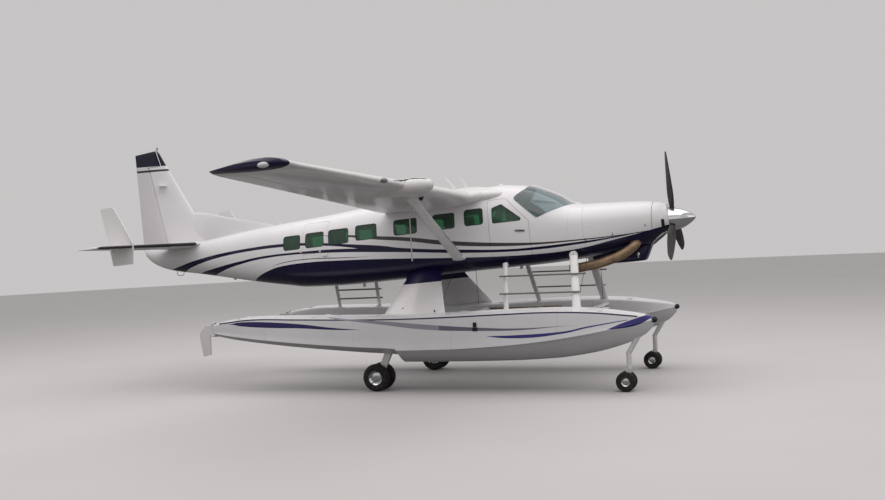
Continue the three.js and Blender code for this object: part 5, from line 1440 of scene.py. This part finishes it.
hull_stations = ([5.755, 5.73, 5.70, 5.66, 5.60] + stops(5.52, 1.0, 0.09) + [0.93, 0.905, 0.885, 0.86]
                 + stops(0.78, -3.36, 0.09))
well_rear, well_front, well_half, well_roof = -0.18, 0.84, 0.06, 1.01
well_sides = [
    # a place on each side, and the way across it
    ((well_front, 0, 0), (1, 0, 0)), ((well_rear, 0, 0), (1, 0, 0)),
    ((0, well_half, 0), (0, 1, 0)), ((0, -well_half, 0), (0, 1, 0)),
]
for side, name in both_sides:
    hull = bmesh.new()
    slab(hull, hull_stations, float_ring)
    # The bottom is cut along the well's four sides and opened, and its edge drawn up to the roof
    for place, facing in well_sides:
        under = [f for f in hull.faces if f.calc_center_median().z < 1.0
                 and -0.4 < f.calc_center_median().x < 1.1]
        edges, verts = {e for f in under for e in f.edges}, {v for f in under for v in f.verts}
        bmesh.ops.bisect_plane(hull, geom=under + list(edges) + list(verts), dist=1e-5, plane_co=place,
                               plane_no=facing)
    hole = [f for f in hull.faces if f.calc_center_median().z < 1.0
            and well_rear < f.calc_center_median().x < well_front
            and abs(f.calc_center_median().y) < well_half]
    bmesh.ops.delete(hull, geom=hole, context="FACES")
    lower = [e for e in hull.edges if e.is_boundary]
    walls = bmesh.ops.extrude_edge_only(hull, edges=lower)["geom"]
    for vert in points_in(walls):
        vert.co.z = well_roof
    inner = {g for g in walls if isinstance(g, bmesh.types.BMFace)}
    bmesh.ops.holes_fill(hull, edges=[e for e in hull.edges if e.is_boundary], sides=0)
    # The well's walls and roof take the black: painted shade for the depth of the well
    for face in hull.faces:
        middle = face.calc_center_median()
        in_well = abs(middle.y) < 0.07 and -0.19 < middle.x < 0.85
        if face in inner or in_well and abs(middle.z - well_roof) < 0.005:
            face.material_index = 1
    piece(shifted(hull, side), "hull_" + name, "airframe", [float_enamel, black_primer_and_shade],
          replaces=["float_" + name], tilted=False, sharp=28)

    # Bow bumpers of moulded black rubber, deck cleats, and the bracket of the water rudder
    bumper = bmesh.new()
    nose = [Vector((5.772 - 0.02 * (y / 0.09) ** 2, y, 1.29))
            for y in (-0.09, -0.06, -0.03, 0, 0.03, 0.06, 0.09)]
    tube(bumper, nose, [0.032, 0.046, 0.052, 0.054, 0.052, 0.046, 0.032], 14)
    piece(shifted(bumper, side), "bow_bumper_" + name, "airframe", [seal_rubber], tilted=False)
    fittings = bmesh.new()
    for x in (4.85, 2.05, -0.9, -2.7):
        keel, chine, deck, chine_half, deck_half = float_at(x)
        for y in (-deck_half * 0.86, deck_half * 0.86):
            z = deck + 0.010
            horn = [(-0.065, 0.026), (-0.03, 0.021), (0.03, 0.021), (0.065, 0.026)]
            tube(fittings, [Vector((x + on, y, z + up)) for on, up in horn], [0.005, 0.008, 0.008, 0.005], 8)
            for foot in (-0.022, 0.022):
                tube(fittings, [Vector((x + foot, y, z - 0.02)), Vector((x + foot, y, z + 0.021))], 0.007, 8)
    piece(shifted(fittings, side), "cleats_" + name, "airframe", [white_enamel], tilted=False)
    bracket = bmesh.new()
    for size, place in (((0.19, 0.09, 0.034), (-3.395, 0, 1.137)), ((0.19, 0.09, 0.029), (-3.395, 0, 1.3955)),
                        ((0.055, 0.09, 0.29), (-3.3675, 0, 1.265))):
        box(bracket, size, place)
    made = piece(shifted(bracket, side), "rudder_bracket_" + name, "airframe", [float_enamel],
                 tilted=False)
    break_edges(made, 0.006)

# Water rudders: flat aluminium blades, each on a steel pin at its float's stern
blade_outline = rounded([(-3.43, 1.165), (-3.525, 1.165), (-3.525, 0.74), (-3.72, 0.70), (-3.80, 1.18),
                         (-3.64, 1.36), (-3.43, 1.36)], 0.02, 3)
for side, name in both_sides:
    plate = bmesh.new()
    add_plate(plate, blade_outline, -0.010, 0.02)
    for fold in (0.95, 1.22):
        bmesh.ops.bisect_plane(plate, geom=plate.verts[:] + plate.edges[:] + plate.faces[:], dist=1e-5,
                               plane_co=(0, 0, fold), plane_no=(0, 0, 1))
    pin_line = [Vector((-3.44, 0, z)) for z in (1.1545, 1.17, 1.36, 1.3805)]
    tube(plate, pin_line, [0.022, 0.026, 0.026, 0.022], 20)
    for z in (0.90, 1.10, 1.28):
        tube(plate, [Vector((-3.56, 0, z)), Vector((-3.64, 0, z)), Vector((-3.70, 0, z - 0.012))],
             [0.012, 0.013, 0.009], 8)
    made = piece(shifted(plate, side), "water_rudder_blade_" + name, "water_rudder_" + name, [white_enamel],
                 replaces=["water_rudder_" + name], tilted=False)
    break_edges(made, 0.004)

# Main pylons: broad riveted fairings from the float decks to the belly, white with a navy cuff
# where they meet it. Their skins are folded, so a crease runs down each side.
pylon_levels = [
    # height, rear, front, half thickness, distance out
    (-1.46, -6.19, -4.60, 0.215, 1.60), (-1.42, -6.13, -4.70, 0.182, 1.60),
    (-1.38, -6.10, -4.73, 0.168, 1.58), (-0.64, -5.80, -5.04, 0.120, 0.77),
    (-0.55, -5.81, -5.02, 0.120, 0.68), (-0.47, -5.80, -5.01, 0.105, 0.62),
    (-0.42, -5.78, -5.03, 0.090, 0.58),
]
cuff_foot = -0.73


def pylon_ring(height, side):
    rear, front, half, out = between(pylon_levels, height)
    line = []
    for c, s in round_turn(40):
        fold = (abs(c) ** 1.5 + abs(s) ** 1.5) ** (-1 / 1.5)
        line.append(Vector(((rear + front) / 2 + (front - rear) / 2 * c * fold,
                            side * out + half * s * fold, height)))
    return line


pylon_heights = [-1.46, -1.44, -1.42, -1.40, -1.38, -1.20, -1.0, -0.82, cuff_foot - 0.002,
                 cuff_foot + 0.002, -0.64, -0.595, -0.55, -0.47, -0.42]
for side, name in both_sides:
    pylon = bmesh.new()
    slab(pylon, pylon_heights, lambda height: pylon_ring(height, side))
    for face in pylon.faces:
        if face.calc_center_median().z > cuff_foot:
            face.material_index = 1
    piece(pylon, "pylon_skin_" + name, "airframe", [white_enamel, navy_enamel],
          replaces=["pylon_" + name], sharp=24)

# Front struts: broad white plates with a round head that two bolts hold. The front boarding ladder
# is one post behind each, and two rungs that run level from it across the strut's outer face.


def standing(x, y, z):
    """A point of the level airframe, where it stands on its floats"""
    return nose_up @ Vector((x, y, z))


def at_height(foot, head, z):
    """The point of the line from foot to head at a height"""
    return foot.lerp(head, (z - foot.z) / (head.z - foot.z))


# Rungs are ribbed tube: mid grey, rough, darker than the white posts, with fine rings round it that are
# bumped and painted as bands of light and shade
rung_grey = finish("ribbed_rung_grey", "6F6C68", {"Roughness": 0.6})
ribs = add_node(rung_grey, "TexWave", {"Scale": 30.0}, bands_direction="X")
add_node(rung_grey, "ValToRGB", {"Fac": ribs}, feeds="Base Color", shades=((0, "5F5C59"), (1, "7E7B76")))
add_node(rung_grey, "Bump", {"Height": ribs, "Distance": 0.001}, feeds="Normal")

for side, name in both_sides:
    foot, head = standing(-2.19, side * 1.41, -1.62), standing(-2.28, side * 0.76, -0.49)
    front = bmesh.new()
    blade_tube(front, foot, head, 0.165, 0.158, 0.075, steps=32)
    add_bar(front, "X", 40, 0.079, 0.068, head)
    tube(front, [head, standing(-2.28, side * 0.45, -0.47)], 0.038, 16)
    blade_tube(front, foot.lerp(head, 0.085), foot.lerp(head, 0.14), 0.23, 0.175, 0.11)
    piece(front, "front_strut_skin_" + name, "airframe", [white_enamel],
          replaces=["front_strut_" + name], tilted=False)
    bolts = bmesh.new()
    for drop in (0.0, 0.085):
        add_bar(bolts, "X", 6, 0.015, 0.018, head + Vector((0.004, side * 0.041, 0.02 - drop)))
    piece(bolts, "front_strut_bolts_" + name, "airframe", [polished_metal], tilted=False)

    post_foot, post_head = standing(-3.58, side * 1.35, -1.56), standing(-3.66, side * 0.772, -0.51)
    steps, rungs = bmesh.new(), bmesh.new()
    blade_tube(steps, post_foot, post_head, 0.10, 0.10, 0.056)
    tube(steps, [post_head.lerp(post_foot, 0.04), standing(-3.66, side * 0.50, -0.53)], 0.028, 12)
    for drop, beyond in ((0.24, 0.23), (0.56, 0.11)):
        at_post = post_head.lerp(post_foot, drop)
        at_strut = at_height(foot, head, at_post.z)
        y = at_strut.y + side * 0.065
        ends = [at_post.x - 0.09, at_post.x - 0.085, at_strut.x + beyond - 0.005, at_strut.x + beyond]
        tube(rungs, [Vector((x, y, at_post.z)) for x in ends], [0.013, 0.018, 0.018, 0.013], 14, flat=0.9)
        tube(rungs, [Vector((at_post.x, y, at_post.z)), at_post], 0.015, 10)
    piece(steps, "ladder_" + name, "airframe", [white_enamel],
          replaces=["front_ladder_" + name], tilted=False)
    piece(rungs, "ladder_rungs_" + name, "airframe", [rung_grey], tilted=False)

# Rear ladder on the left float: two blade posts that lean in to the belly, with two round rungs
rear_steps, rear_rungs = bmesh.new(), bmesh.new()
rear_posts = [(standing(x_foot, 1.51, -1.25), standing(x_head, 0.605, -0.47))
              for x_foot, x_head in ((-8.47, -8.09), (-7.465, -7.104))]
for foot, head in rear_posts:
    blade_tube(rear_steps, foot, head, 0.085, 0.08, 0.046)
for z in (1.90, 1.69):
    rear, front = [at_height(foot, head, z) for foot, head in rear_posts]
    along = (front - rear).normalized()
    tube(rear_rungs, [rear - along * 0.03, rear.lerp(front, 0.5), front + along * 0.10], 0.018, 12)
piece(rear_steps, "rear_ladder", "airframe", [white_enamel], replaces=["rear_ladder_left"],
      tilted=False)
piece(rear_rungs, "rear_ladder_rungs", "airframe", [rung_grey], tilted=False)

# Spreader bars between the floats: streamlined tubes in sockets on the floats' inner sides. Thin
# steel wires in black sleeves brace the struts above them.
for node, x, z in (("spreader_fore", 4.35, 1.40), ("spreader_aft", 1.74, 1.37)):
    bar = bmesh.new()
    tube(bar, [Vector((x, y, z)) for y in stops(-1.26, 1.26, 0.2)], 0.075, 24, flat=0.42)
    for end in (-1, 1):
        tube(bar, [Vector((x, end * 1.17, z)), Vector((x, end * 1.30, z))], 0.088, 24, flat=0.46)
    piece(bar, node + "_bar", "airframe", [white_enamel], replaces=[node], tilted=False)
stay = bmesh.new()
for low, high in (((1.510, 1.45), (1.702, 2.40)), ((4.285, 1.45), (4.400, 2.47))):
    for side in (-1, 1):
        tube(stay, [Vector((low[0], side * 1.30, low[1])), Vector((high[0], side * 0.62, high[1]))], 0.005, 8)
piece(stay, "brace_wires", "airframe", [seal_rubber], tilted=False)

# Landing gear. Legs and forks are forged steel in white enamel: the solid pieces carry over, with
# their edges broken. Each wheel pair turns on one axle.
for name in ("right", "left"):
    for kind in ("main_leg_", "nose_leg_", "nose_fork_"):
        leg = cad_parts[kind + name]
        leg.data.materials.clear()
        leg.data.materials.append(white_enamel)
        welded = leg.modifiers.new("one_skin", "WELD")
        welded.merge_threshold = 0.0002
        break_edges(leg, 0.006, angle=35)

# Tyre rubber: black gone grey-brown with dry mud, ribbed round the tread
tyre_rubber = finish("ribbed_tyre_rubber", "1B1B1C", {"Roughness": 0.85})
dust = add_node(tyre_rubber, "TexNoise", {"Scale": 14.0, "Detail": 5.0})
add_node(tyre_rubber, "ValToRGB", {"Fac": dust}, feeds="Base Color",
         shades=((0.4, "161617"), (0.75, "39352F")))
ribs = add_node(tyre_rubber, "TexWave", {"Scale": 14.0}, bands_direction="Y")
add_node(tyre_rubber, "Bump", {"Height": ribs, "Distance": 0.006, "Strength": 0.6}, feeds="Normal")

wheel_sets = [
    # kind, axle x, tyre radius, rim radius, half track, half width
    ("main_wheels_", 0.330, 0.270, 0.140, 0.145, 0.088),
    ("nose_wheels_", 5.220, 0.180, 0.078, 0.092, 0.058),
]
for kind, axle_x, radius, rim, half_track, half_width in wheel_sets:
    # Sections of the tyre and of the hub, as radius and share of the half width
    wall = [(radius * 0.965, 0.70), (radius * 0.88, 0.95), (radius * 0.72, 0.98), (rim, 0.80)]
    tread = [(radius, -0.30), (radius, 0.30)] + wall + [(r, -y) for r, y in reversed(wall)]
    dish = [(0.0, 0.62), (rim * 0.30, 0.62), (rim * 0.36, 0.40), (rim * 0.70, 0.34), (rim * 0.82, 0.62),
            (rim * 1.06, 0.80), (rim * 1.10, 0.74), (rim * 0.94, 0.60)]
    dish += [(r, -y) for r, y in reversed(dish)]
    for side, name in both_sides:
        tyres, hubs = bmesh.new(), bmesh.new()
        for wheel in (-1, 1):
            middle = wheel * half_track
            for shape, section, closed, steps in ((tyres, tread, True, 36), (hubs, dish, False, 40)):
                line = [(axle_x, middle + y * half_width, radius + r) for r, y in section]
                spun(shape, line, (0, 1, 0), steps, (axle_x, 0, radius), closed)
            for c, s in round_turn(6):
                out = middle + wheel * 0.38 * half_width
                nut_at = (axle_x + rim * 0.53 * c, out, radius + rim * 0.53 * s)
                add_bar(hubs, "X", 6, 0.008, 0.012, nut_at)
        axle = [Vector((axle_x, y, radius)) for y in (-half_track, half_track)]
        tube(hubs, axle, 0.031 if radius > 0.2 else 0.0215, 24)
        body = kind + name
        piece(shifted(tyres, side), body + "_tyres", body, [tyre_rubber], replaces=[body],
              tilted=False, sharp=50)
        piece(shifted(hubs, side), body + "_hubs", body, [polished_metal], tilted=False)

# Seats: sprung cushions and backs of stitched grey leather on black steel frames, which slide on
# rails in the floor. One cushion and one back are blown up as cloth and copied to all nine seats.


def puffed(shape, name, cap, pressure):
    """Fills a closed cover with air as cloth, with no point moving further than the cap"""
    mesh = bpy.data.meshes.new(name)
    shape.to_mesh(mesh)
    shape.free()
    cover = bpy.data.objects.new(name, mesh)
    bpy.context.collection.objects.link(cover)

    def as_it_is():
        """The cover's mesh with its modifiers worked out"""
        return bpy.data.meshes.new_from_object(cover.evaluated_get(bpy.context.evaluated_depsgraph_get()))

    even = cover.modifiers.new("even_mesh", "REMESH")
    even.mode = "VOXEL"
    even.voxel_size = 0.018
    even_mesh = as_it_is()
    cover.modifiers.remove(even)
    cover.data = even_mesh
    start = [v.co.copy() for v in even_mesh.vertices]
    cloth = cover.modifiers.new("cover", "CLOTH")
    cloth.settings.quality = 6
    cloth.settings.mass = 0.3
    cloth.settings.tension_stiffness = 12
    cloth.settings.compression_stiffness = 12
    cloth.settings.bending_stiffness = 0.6
    cloth.settings.use_pressure = True
    cloth.settings.uniform_pressure_force = pressure
    cloth.settings.effector_weights.gravity = 0
    for step in range(1, 21):
        bpy.context.scene.frame_set(step)
    blown = as_it_is()
    cover.modifiers.remove(cloth)
    bpy.context.scene.frame_set(1)
    for vert, was in zip(blown.vertices, start):
        move = vert.co - was
        vert.co = was + move * min(1.0, cap / max(move.length, 1e-6))
    cover.data = blown
    made = bmesh.new()
    made.from_mesh(cover.data)
    bpy.data.objects.remove(cover)
    bmesh.ops.smooth_vert(made, verts=made.verts, factor=0.5, use_axis_x=True, use_axis_y=True,
                          use_axis_z=True)
    return made


def round_off(shape, edges, offset, segments):
    bmesh.ops.bevel(shape, geom=edges, offset=offset, offset_type="OFFSET", affect="EDGES",
                    segments=segments, profile=0.5, material=-1)


def cover_box(size, middle, lean=0.0, soften=0.03):
    """A box with its edges rounded, its head moved back by the lean"""
    shape = bmesh.new()
    box(shape, size, (0, 0, 0))
    round_off(shape, shape.edges[:], soften, 3)
    for vert in shape.verts:
        vert.co.x -= lean * (vert.co.z / size[2] + 0.5)
    bmesh.ops.translate(shape, verts=shape.verts, vec=middle)
    return shape


def welt(shape, cover, rail):
    """A piped seam 9 mm thick that lies on the blown cover along a line of points"""
    spots = [v.co.copy() for v in cover.verts]
    line = []
    for point in rail:
        near = sorted(spots, key=lambda spot: (spot - point).length)[:4]
        line.append(sum(near, Vector()) / 4)
    threes = zip(line[-1:] + line[:-1], line, line[1:] + line[:1])
    tube(shape, [(a + b * 2 + c) / 4 for a, b, c in threes], 0.0045, 6, closed=True)


def loop_round(wide, deep, corner, count, place):
    """Points evenly round a rounded oblong, each put in space by place"""
    x, y = deep / 2, wide / 2
    corners = rounded([(-x, -y), (x, -y), (x, y), (-x, y)], corner, 4)
    lengths = [0.0]
    closed = corners + corners[:1]
    for a, b in zip(closed, closed[1:]):
        lengths.append(lengths[-1] + (b - a).length)
    points = []
    for number in range(count):
        goal = lengths[-1] * number / count
        k = min(max(bisect.bisect_right(lengths, goal) - 1, 0), len(closed) - 2)
        share = (goal - lengths[k]) / max(lengths[k + 1] - lengths[k], 1e-9)
        points.append(place(*closed[k].lerp(closed[k + 1], share)))
    return points


# Full-grain leather, light grey: a fine pebble, a soft sheen, and rows of stitching 90 mm apart that
# pull it in. The pebble is drawn at 4 mm, three times the real size, so that it shows
def leather(name, run):
    hide = finish(name, "77777B", {"Roughness": 0.5, "Sheen Weight": 0.15})
    pebble = add_node(hide, "TexVoronoi", {"Scale": 250.0})
    tone = add_node(hide, "TexNoise", {"Scale": 6.0, "Detail": 4.0})
    add_node(hide, "ValToRGB", {"Fac": tone}, feeds="Base Color", shades=((0, "66666A"), (1, "86868A")))
    split = add_node(hide, "SeparateXYZ")
    half_row = 0.045
    row = add_node(hide, "Math", {0: split.outputs[run], 1: half_row}, operation="PINGPONG")
    seam = add_node(hide, "MapRange", {"Value": row, "From Max": 0.010}, interpolation_type="SMOOTHSTEP")
    dent = add_node(hide, "Bump", {"Height": seam, "Distance": 0.006})
    add_node(hide, "Bump", {"Height": pebble, "Distance": 0.0006, "Normal": dent}, feeds="Normal")
    return hide


cushion_leather, back_leather = leather("cushion_leather", "X"), leather("back_leather", "Z")

# Powder-coated steel of the seat frames: satin black, fine orange-peel texture
frame_steel = finish("powder_coated_steel", "1F2022", {"Roughness": 0.5, "Metallic": 0.1})
peel = add_node(frame_steel, "TexNoise", {"Scale": 220.0})
add_node(frame_steel, "ValToRGB", {"Fac": peel}, feeds="Base Color", shades=((0, "1A1B1D"), (1, "28292C")))
add_node(frame_steel, "Bump", {"Height": peel, "Distance": 0.0004}, feeds="Normal")

cushion_size, back_size = (0.455, 0.435, 0.125), (0.105, 0.435, 0.535)
cushion_cover = puffed(cover_box(cushion_size, (-0.235, 0, -0.052)), "cushion_cover", 0.016, 4)
back_cover = puffed(cover_box(back_size, (-0.413, 0, 0.293), 0.05, 0.025), "back_cover", 0.014, 4)
cushion_seam, back_seam = bmesh.new(), bmesh.new()
for height in (-0.006, -0.098):
    welt(cushion_seam, cushion_cover, loop_round(
        0.445, 0.465, 0.05, 64, lambda x, y, height=height: Vector((-0.235 + x, y, height))))
for fore in (0.045, -0.045):
    welt(back_seam, back_cover, loop_round(0.445, 0.545, 0.05, 64, lambda z, y, fore=fore: Vector((
        -0.438 - 0.05 * (z / back_size[2]) + fore, y, 0.293 + z))))

seat_groups = [
    # name, node, places as front edge and middle
    ("crew", "crew_seats", [(-3.02, -0.35), (-3.02, 0.35)]),
    ("passenger", "passenger_seats", [(-4.25, -0.38), (-4.25, 0.38), (-5.15, -0.38), (-5.15, 0.38),
                                      (-6.05, -0.38), (-6.05, 0.38), (-6.95, -0.33)]),
]


def at_seats(shape, places):
    """Copies one seat's shape to each of its places"""
    pattern = bpy.data.meshes.new("pattern")
    shape.to_mesh(pattern)
    row = bmesh.new()
    for front, middle in places:
        before = len(row.verts)
        row.from_mesh(pattern)
        row.verts.ensure_lookup_table()
        bmesh.ops.translate(row, verts=row.verts[before:], vec=(front, middle, 0))
    bpy.data.meshes.remove(pattern)
    return row


# Seat frames: bent steel tube legs, 270 mm apart, on rails that end 470 mm behind the rearmost
# seat's front edge
rail_foot, rail_top, half_gauge, seat_depth = -0.4297, -0.405, 0.135, 0.47
one_frame = bmesh.new()
box(one_frame, (0.37, 0.34, 0.014), (-0.235, 0, -0.127))
for y in (-half_gauge, half_gauge):
    foot = rail_top + 0.012
    leg_line = [(-0.40, -0.132), (-0.415, -0.27), (-0.41, foot), (-0.25, foot), (-0.09, foot),
                (-0.075, -0.27), (-0.09, -0.132)]
    tube(one_frame, along_points([Vector((x, y, z)) for x, z in leg_line], 36), 0.011, 10)
for x in (-0.40, -0.09):
    tube(one_frame, [Vector((x, -half_gauge, -0.30)), Vector((x, half_gauge, -0.30))], 0.008, 8)
for name, node, places in seat_groups:
    cushions = piece(at_seats(cushion_cover, places), name + "_cushions", "airframe", [cushion_leather],
                     replaces=[node], sharp=80)
    backs = piece(at_seats(back_cover, places), name + "_backs", "airframe", [back_leather],
                  sharp=80)
    for seam, ending, hide in ((cushion_seam, "_cushion_piping", cushion_leather),
                               (back_seam, "_back_piping", back_leather)):
        piece(at_seats(seam, places), name + ending, "airframe", [hide], sharp=80)
    frames = at_seats(one_frame, places)
    for y in sorted({middle for front, middle in places}):
        rows = sorted(front for front, middle in places if middle == y)
        for rail in (y - half_gauge, y + half_gauge):
            long = rows[-1] - rows[0] + seat_depth
            middle = (rows[0] - seat_depth + long / 2, rail, (rail_foot + rail_top) / 2)
            box(frames, (long, 0.032, rail_top - rail_foot), middle)
    piece(frames, name + "_seat_frames", "airframe", [frame_steel])
for spare in (cushion_cover, back_cover, cushion_seam, back_seam, one_frame):
    spare.free()

# Instrument displays: three flat panels of dark glass in thin bezels, on the black panel's rear face
screen_glass = finish("display_glass", "0B1016", {
    "Roughness": 0.08, "Coat Weight": 1.0, "Coat Roughness": 0.02})
smear = add_node(screen_glass, "TexNoise", {"Scale": 5.0, "Detail": 3.0})
add_node(screen_glass, "ValToRGB", {"Fac": smear}, feeds="Base Color", shades=((0, "090D12"), (1, "141C26")))
displays = bmesh.new()
for y in (-0.42, 0.0, 0.42):
    bezel = box(displays, (0.02, 0.33, 0.21), (0, 0, 0))
    front = [f for f in displays.faces
             if f.calc_center_median().x < -0.009 and all(v in bezel for v in f.verts)]
    bmesh.ops.inset_region(displays, faces=front, thickness=0.014, depth=-0.004)
    for sheet in front:
        sheet.material_index = 1
    whole = {v for v in displays.verts if abs(v.co.x) < 0.05}
    bmesh.ops.rotate(displays, verts=list(whole), matrix=Matrix.Rotation(math.radians(7.1), 3, "Y"))
    bmesh.ops.translate(displays, verts=list(whole), vec=(-2.791, y, 0.16))
piece(displays, "instrument_displays", "airframe", [frame_steel, screen_glass], sharp=25)

# Antennas: swept glass-fibre blades and a dome on the roof, a whip ahead of the fin, two level
# blades on its sides and small blades under the belly, all white and screwed through the skin. A
# beacon lamp stands on the fin's tip.
aerials = bmesh.new()
upright_blades = [
    # foot x, foot z, tip x, tip z, distance out, chord of the foot and of the tip, thickness
    (1.600, 3.930, 1.365, 4.218, -0.11, 0.065, 0.03, 0.014),
    (1.885, 3.900, 1.718, 4.175, -0.11, 0.06, 0.028, 0.014),
    (2.912, 2.330, 2.885, 2.246, 0.0, 0.09, 0.05, 0.014),
    (-0.640, 2.105, -0.639, 1.991, 0.0, 0.10, 0.06, 0.014),
    (-3.855, 2.300, -3.870, 2.262, 0.0, 0.10, 0.06, 0.02),
]
for foot_x, foot_z, tip_x, tip_z, out, wide, narrow, thick in upright_blades:
    blade_tube(aerials, Vector((foot_x, out, foot_z)), Vector((tip_x, out, tip_z)), wide, narrow, thick)
for side in (-1, 1):
    foot, head = Vector((-5.620, side * 0.04, 4.509)), Vector((-5.690, side * 0.22, 4.505))
    blade_tube(aerials, foot, head, 0.24, 0.15, 0.014)
whip = [Vector((x, 0, z)) for x, z in ((-2.600, 3.440), (-2.640, 3.500), (-2.879, 3.769))]
tube(aerials, along_points(whip, 12), [0.014, 0.012, 0.009] + [0.007] * 10, 10)
piece(aerials, "antennas", "airframe", [white_enamel], tilted=False)


def domed(radius, height, place):
    """A round dome on a short straight foot"""
    shape = bmesh.new()
    profile = [(radius, -0.015), (radius, 0.0), (radius * 0.94, height * 0.45),
               (radius * 0.74, height * 0.78), (radius * 0.40, height * 0.96), (0.0, height)]
    spun(shape, [(r, 0, z) for r, z in profile], (0, 0, 1), 28)
    bmesh.ops.remove_doubles(shape, verts=shape.verts, dist=1e-5)
    bmesh.ops.translate(shape, verts=shape.verts, vec=place)
    return shape


dome = domed(0.048, 0.032, (2.580, -0.11, 3.972))
piece(dome, "satellite_antenna", "airframe", [white_enamel], tilted=False)
lamp = domed(0.025, 0.072, (-5.792, 0, 5.352))
piece(lamp, "fin_beacon", "airframe", [screen_acrylic], tilted=False)

# Mooring and safety gear: a black steel loop under the tail to tie it down, a rubber step pad on the
# right float's side, and the paddle in its clips along the left float.
ring_bends = [(-5.405, 2.515), (-5.400, 2.470), (-5.385, 2.420), (-5.315, 2.409), (-5.243, 2.415),
              (-5.220, 2.460), (-5.212, 2.500)]
loop = tube(bmesh.new(), along_points([Vector((x, 0, z)) for x, z in ring_bends], 36), 0.006, 8)
piece(loop, "tail_ring", "airframe", [blade_black], tilted=False)
pads = bmesh.new()
for wide, high, z in ((0.095, 0.072, 1.214), (0.07, 0.085, 1.298)):
    box(pads, (wide, 0.012, high), (2.52, -float_y - 0.457, z))
round_off(pads, pads.edges[:], 0.004, 2)
piece(pads, "float_pad", "airframe", [seal_rubber], tilted=False)

# A drain button and a short tie-down stub stand on each main pylon's outer side
stubs = bmesh.new()
for side in (-1, 1):
    for x, out, low, high, thick in (
            (0.86, 1.500, 1.592, 1.612, 0.014), (1.555, 1.585, 1.500, 1.565, 0.012)):
        tube(stubs, [Vector((x, side * out, z)) for z in (low, (low + high) / 2, high)], thick, 10)
piece(stubs, "pylon_stubs", "airframe", [blade_black], tilted=False)

# Varnished ash: yellow-brown, with grain along the shaft every few millimetres
ash = finish("varnished_ash", "8A6A3C", {"Roughness": 0.35, "Coat Weight": 0.5})
stretched = add_node(ash, "Mapping", {"Scale": (1.0, 20.0, 20.0)})
grain = add_node(ash, "TexNoise", {"Vector": stretched, "Scale": 9.0, "Detail": 4.0})
add_node(ash, "ValToRGB", {"Fac": grain}, feeds="Base Color", shades=((0, "6E5230"), (1, "A98646")))
paddle = bmesh.new()
paddle_grip, paddle_slope, paddle_y = 1.747, 0.006, 1.133
shaft = [Vector((x, paddle_y, 1.384 - paddle_slope * (x - paddle_grip)))
         for x in stops(paddle_grip, 3.02, 0.2)]
tube(paddle, shaft, 0.015, 12)
blade = set(box(paddle, (0.43, 0.012, 0.072), (3.21, paddle_y, 1.368)))
rim = [e for e in paddle.edges
       if blade.issuperset(e.verts) and abs(e.verts[0].co.y - e.verts[1].co.y) > 0.01]
round_off(paddle, rim, 0.022, 4)
piece(paddle, "paddle", "airframe", [ash], tilted=False)
clips = bmesh.new()
for x in (1.95, 2.85):
    middle = 1.381 - paddle_slope * (x - paddle_grip)
    ring = [Vector((x, 1.138 + 0.021 * c, middle + 0.021 * s)) for c, s in round_turn(20)]
    tube(clips, ring, 0.005, 6, closed=True)
piece(clips, "paddle_clips", "airframe", [blade_black], tilted=False)

# Engine block: cast aluminium cases under the cowl, dull grey, as the plain block that stands for
# them. The cabin floor and the instrument panel carry over as they are too, each in its finish
cast_grey = finish("cast_case_grey", "5A5B5D", {"Roughness": 0.6, "Metallic": 0.6})
grain = add_node(cast_grey, "TexNoise", {"Scale": 40.0, "Detail": 4.0})
add_node(cast_grey, "Bump", {"Height": grain, "Distance": 0.003}, feeds="Normal")
for node, material, slot in (("engine_block", cast_grey, "engine"), ("cabin_floor", carpet, "cabin_trim"),
                             ("instrument_panel", black_primer_and_shade, "cabin_trim")):
    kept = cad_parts[node]
    kept.data.materials.clear()
    kept.data.materials.append(material)
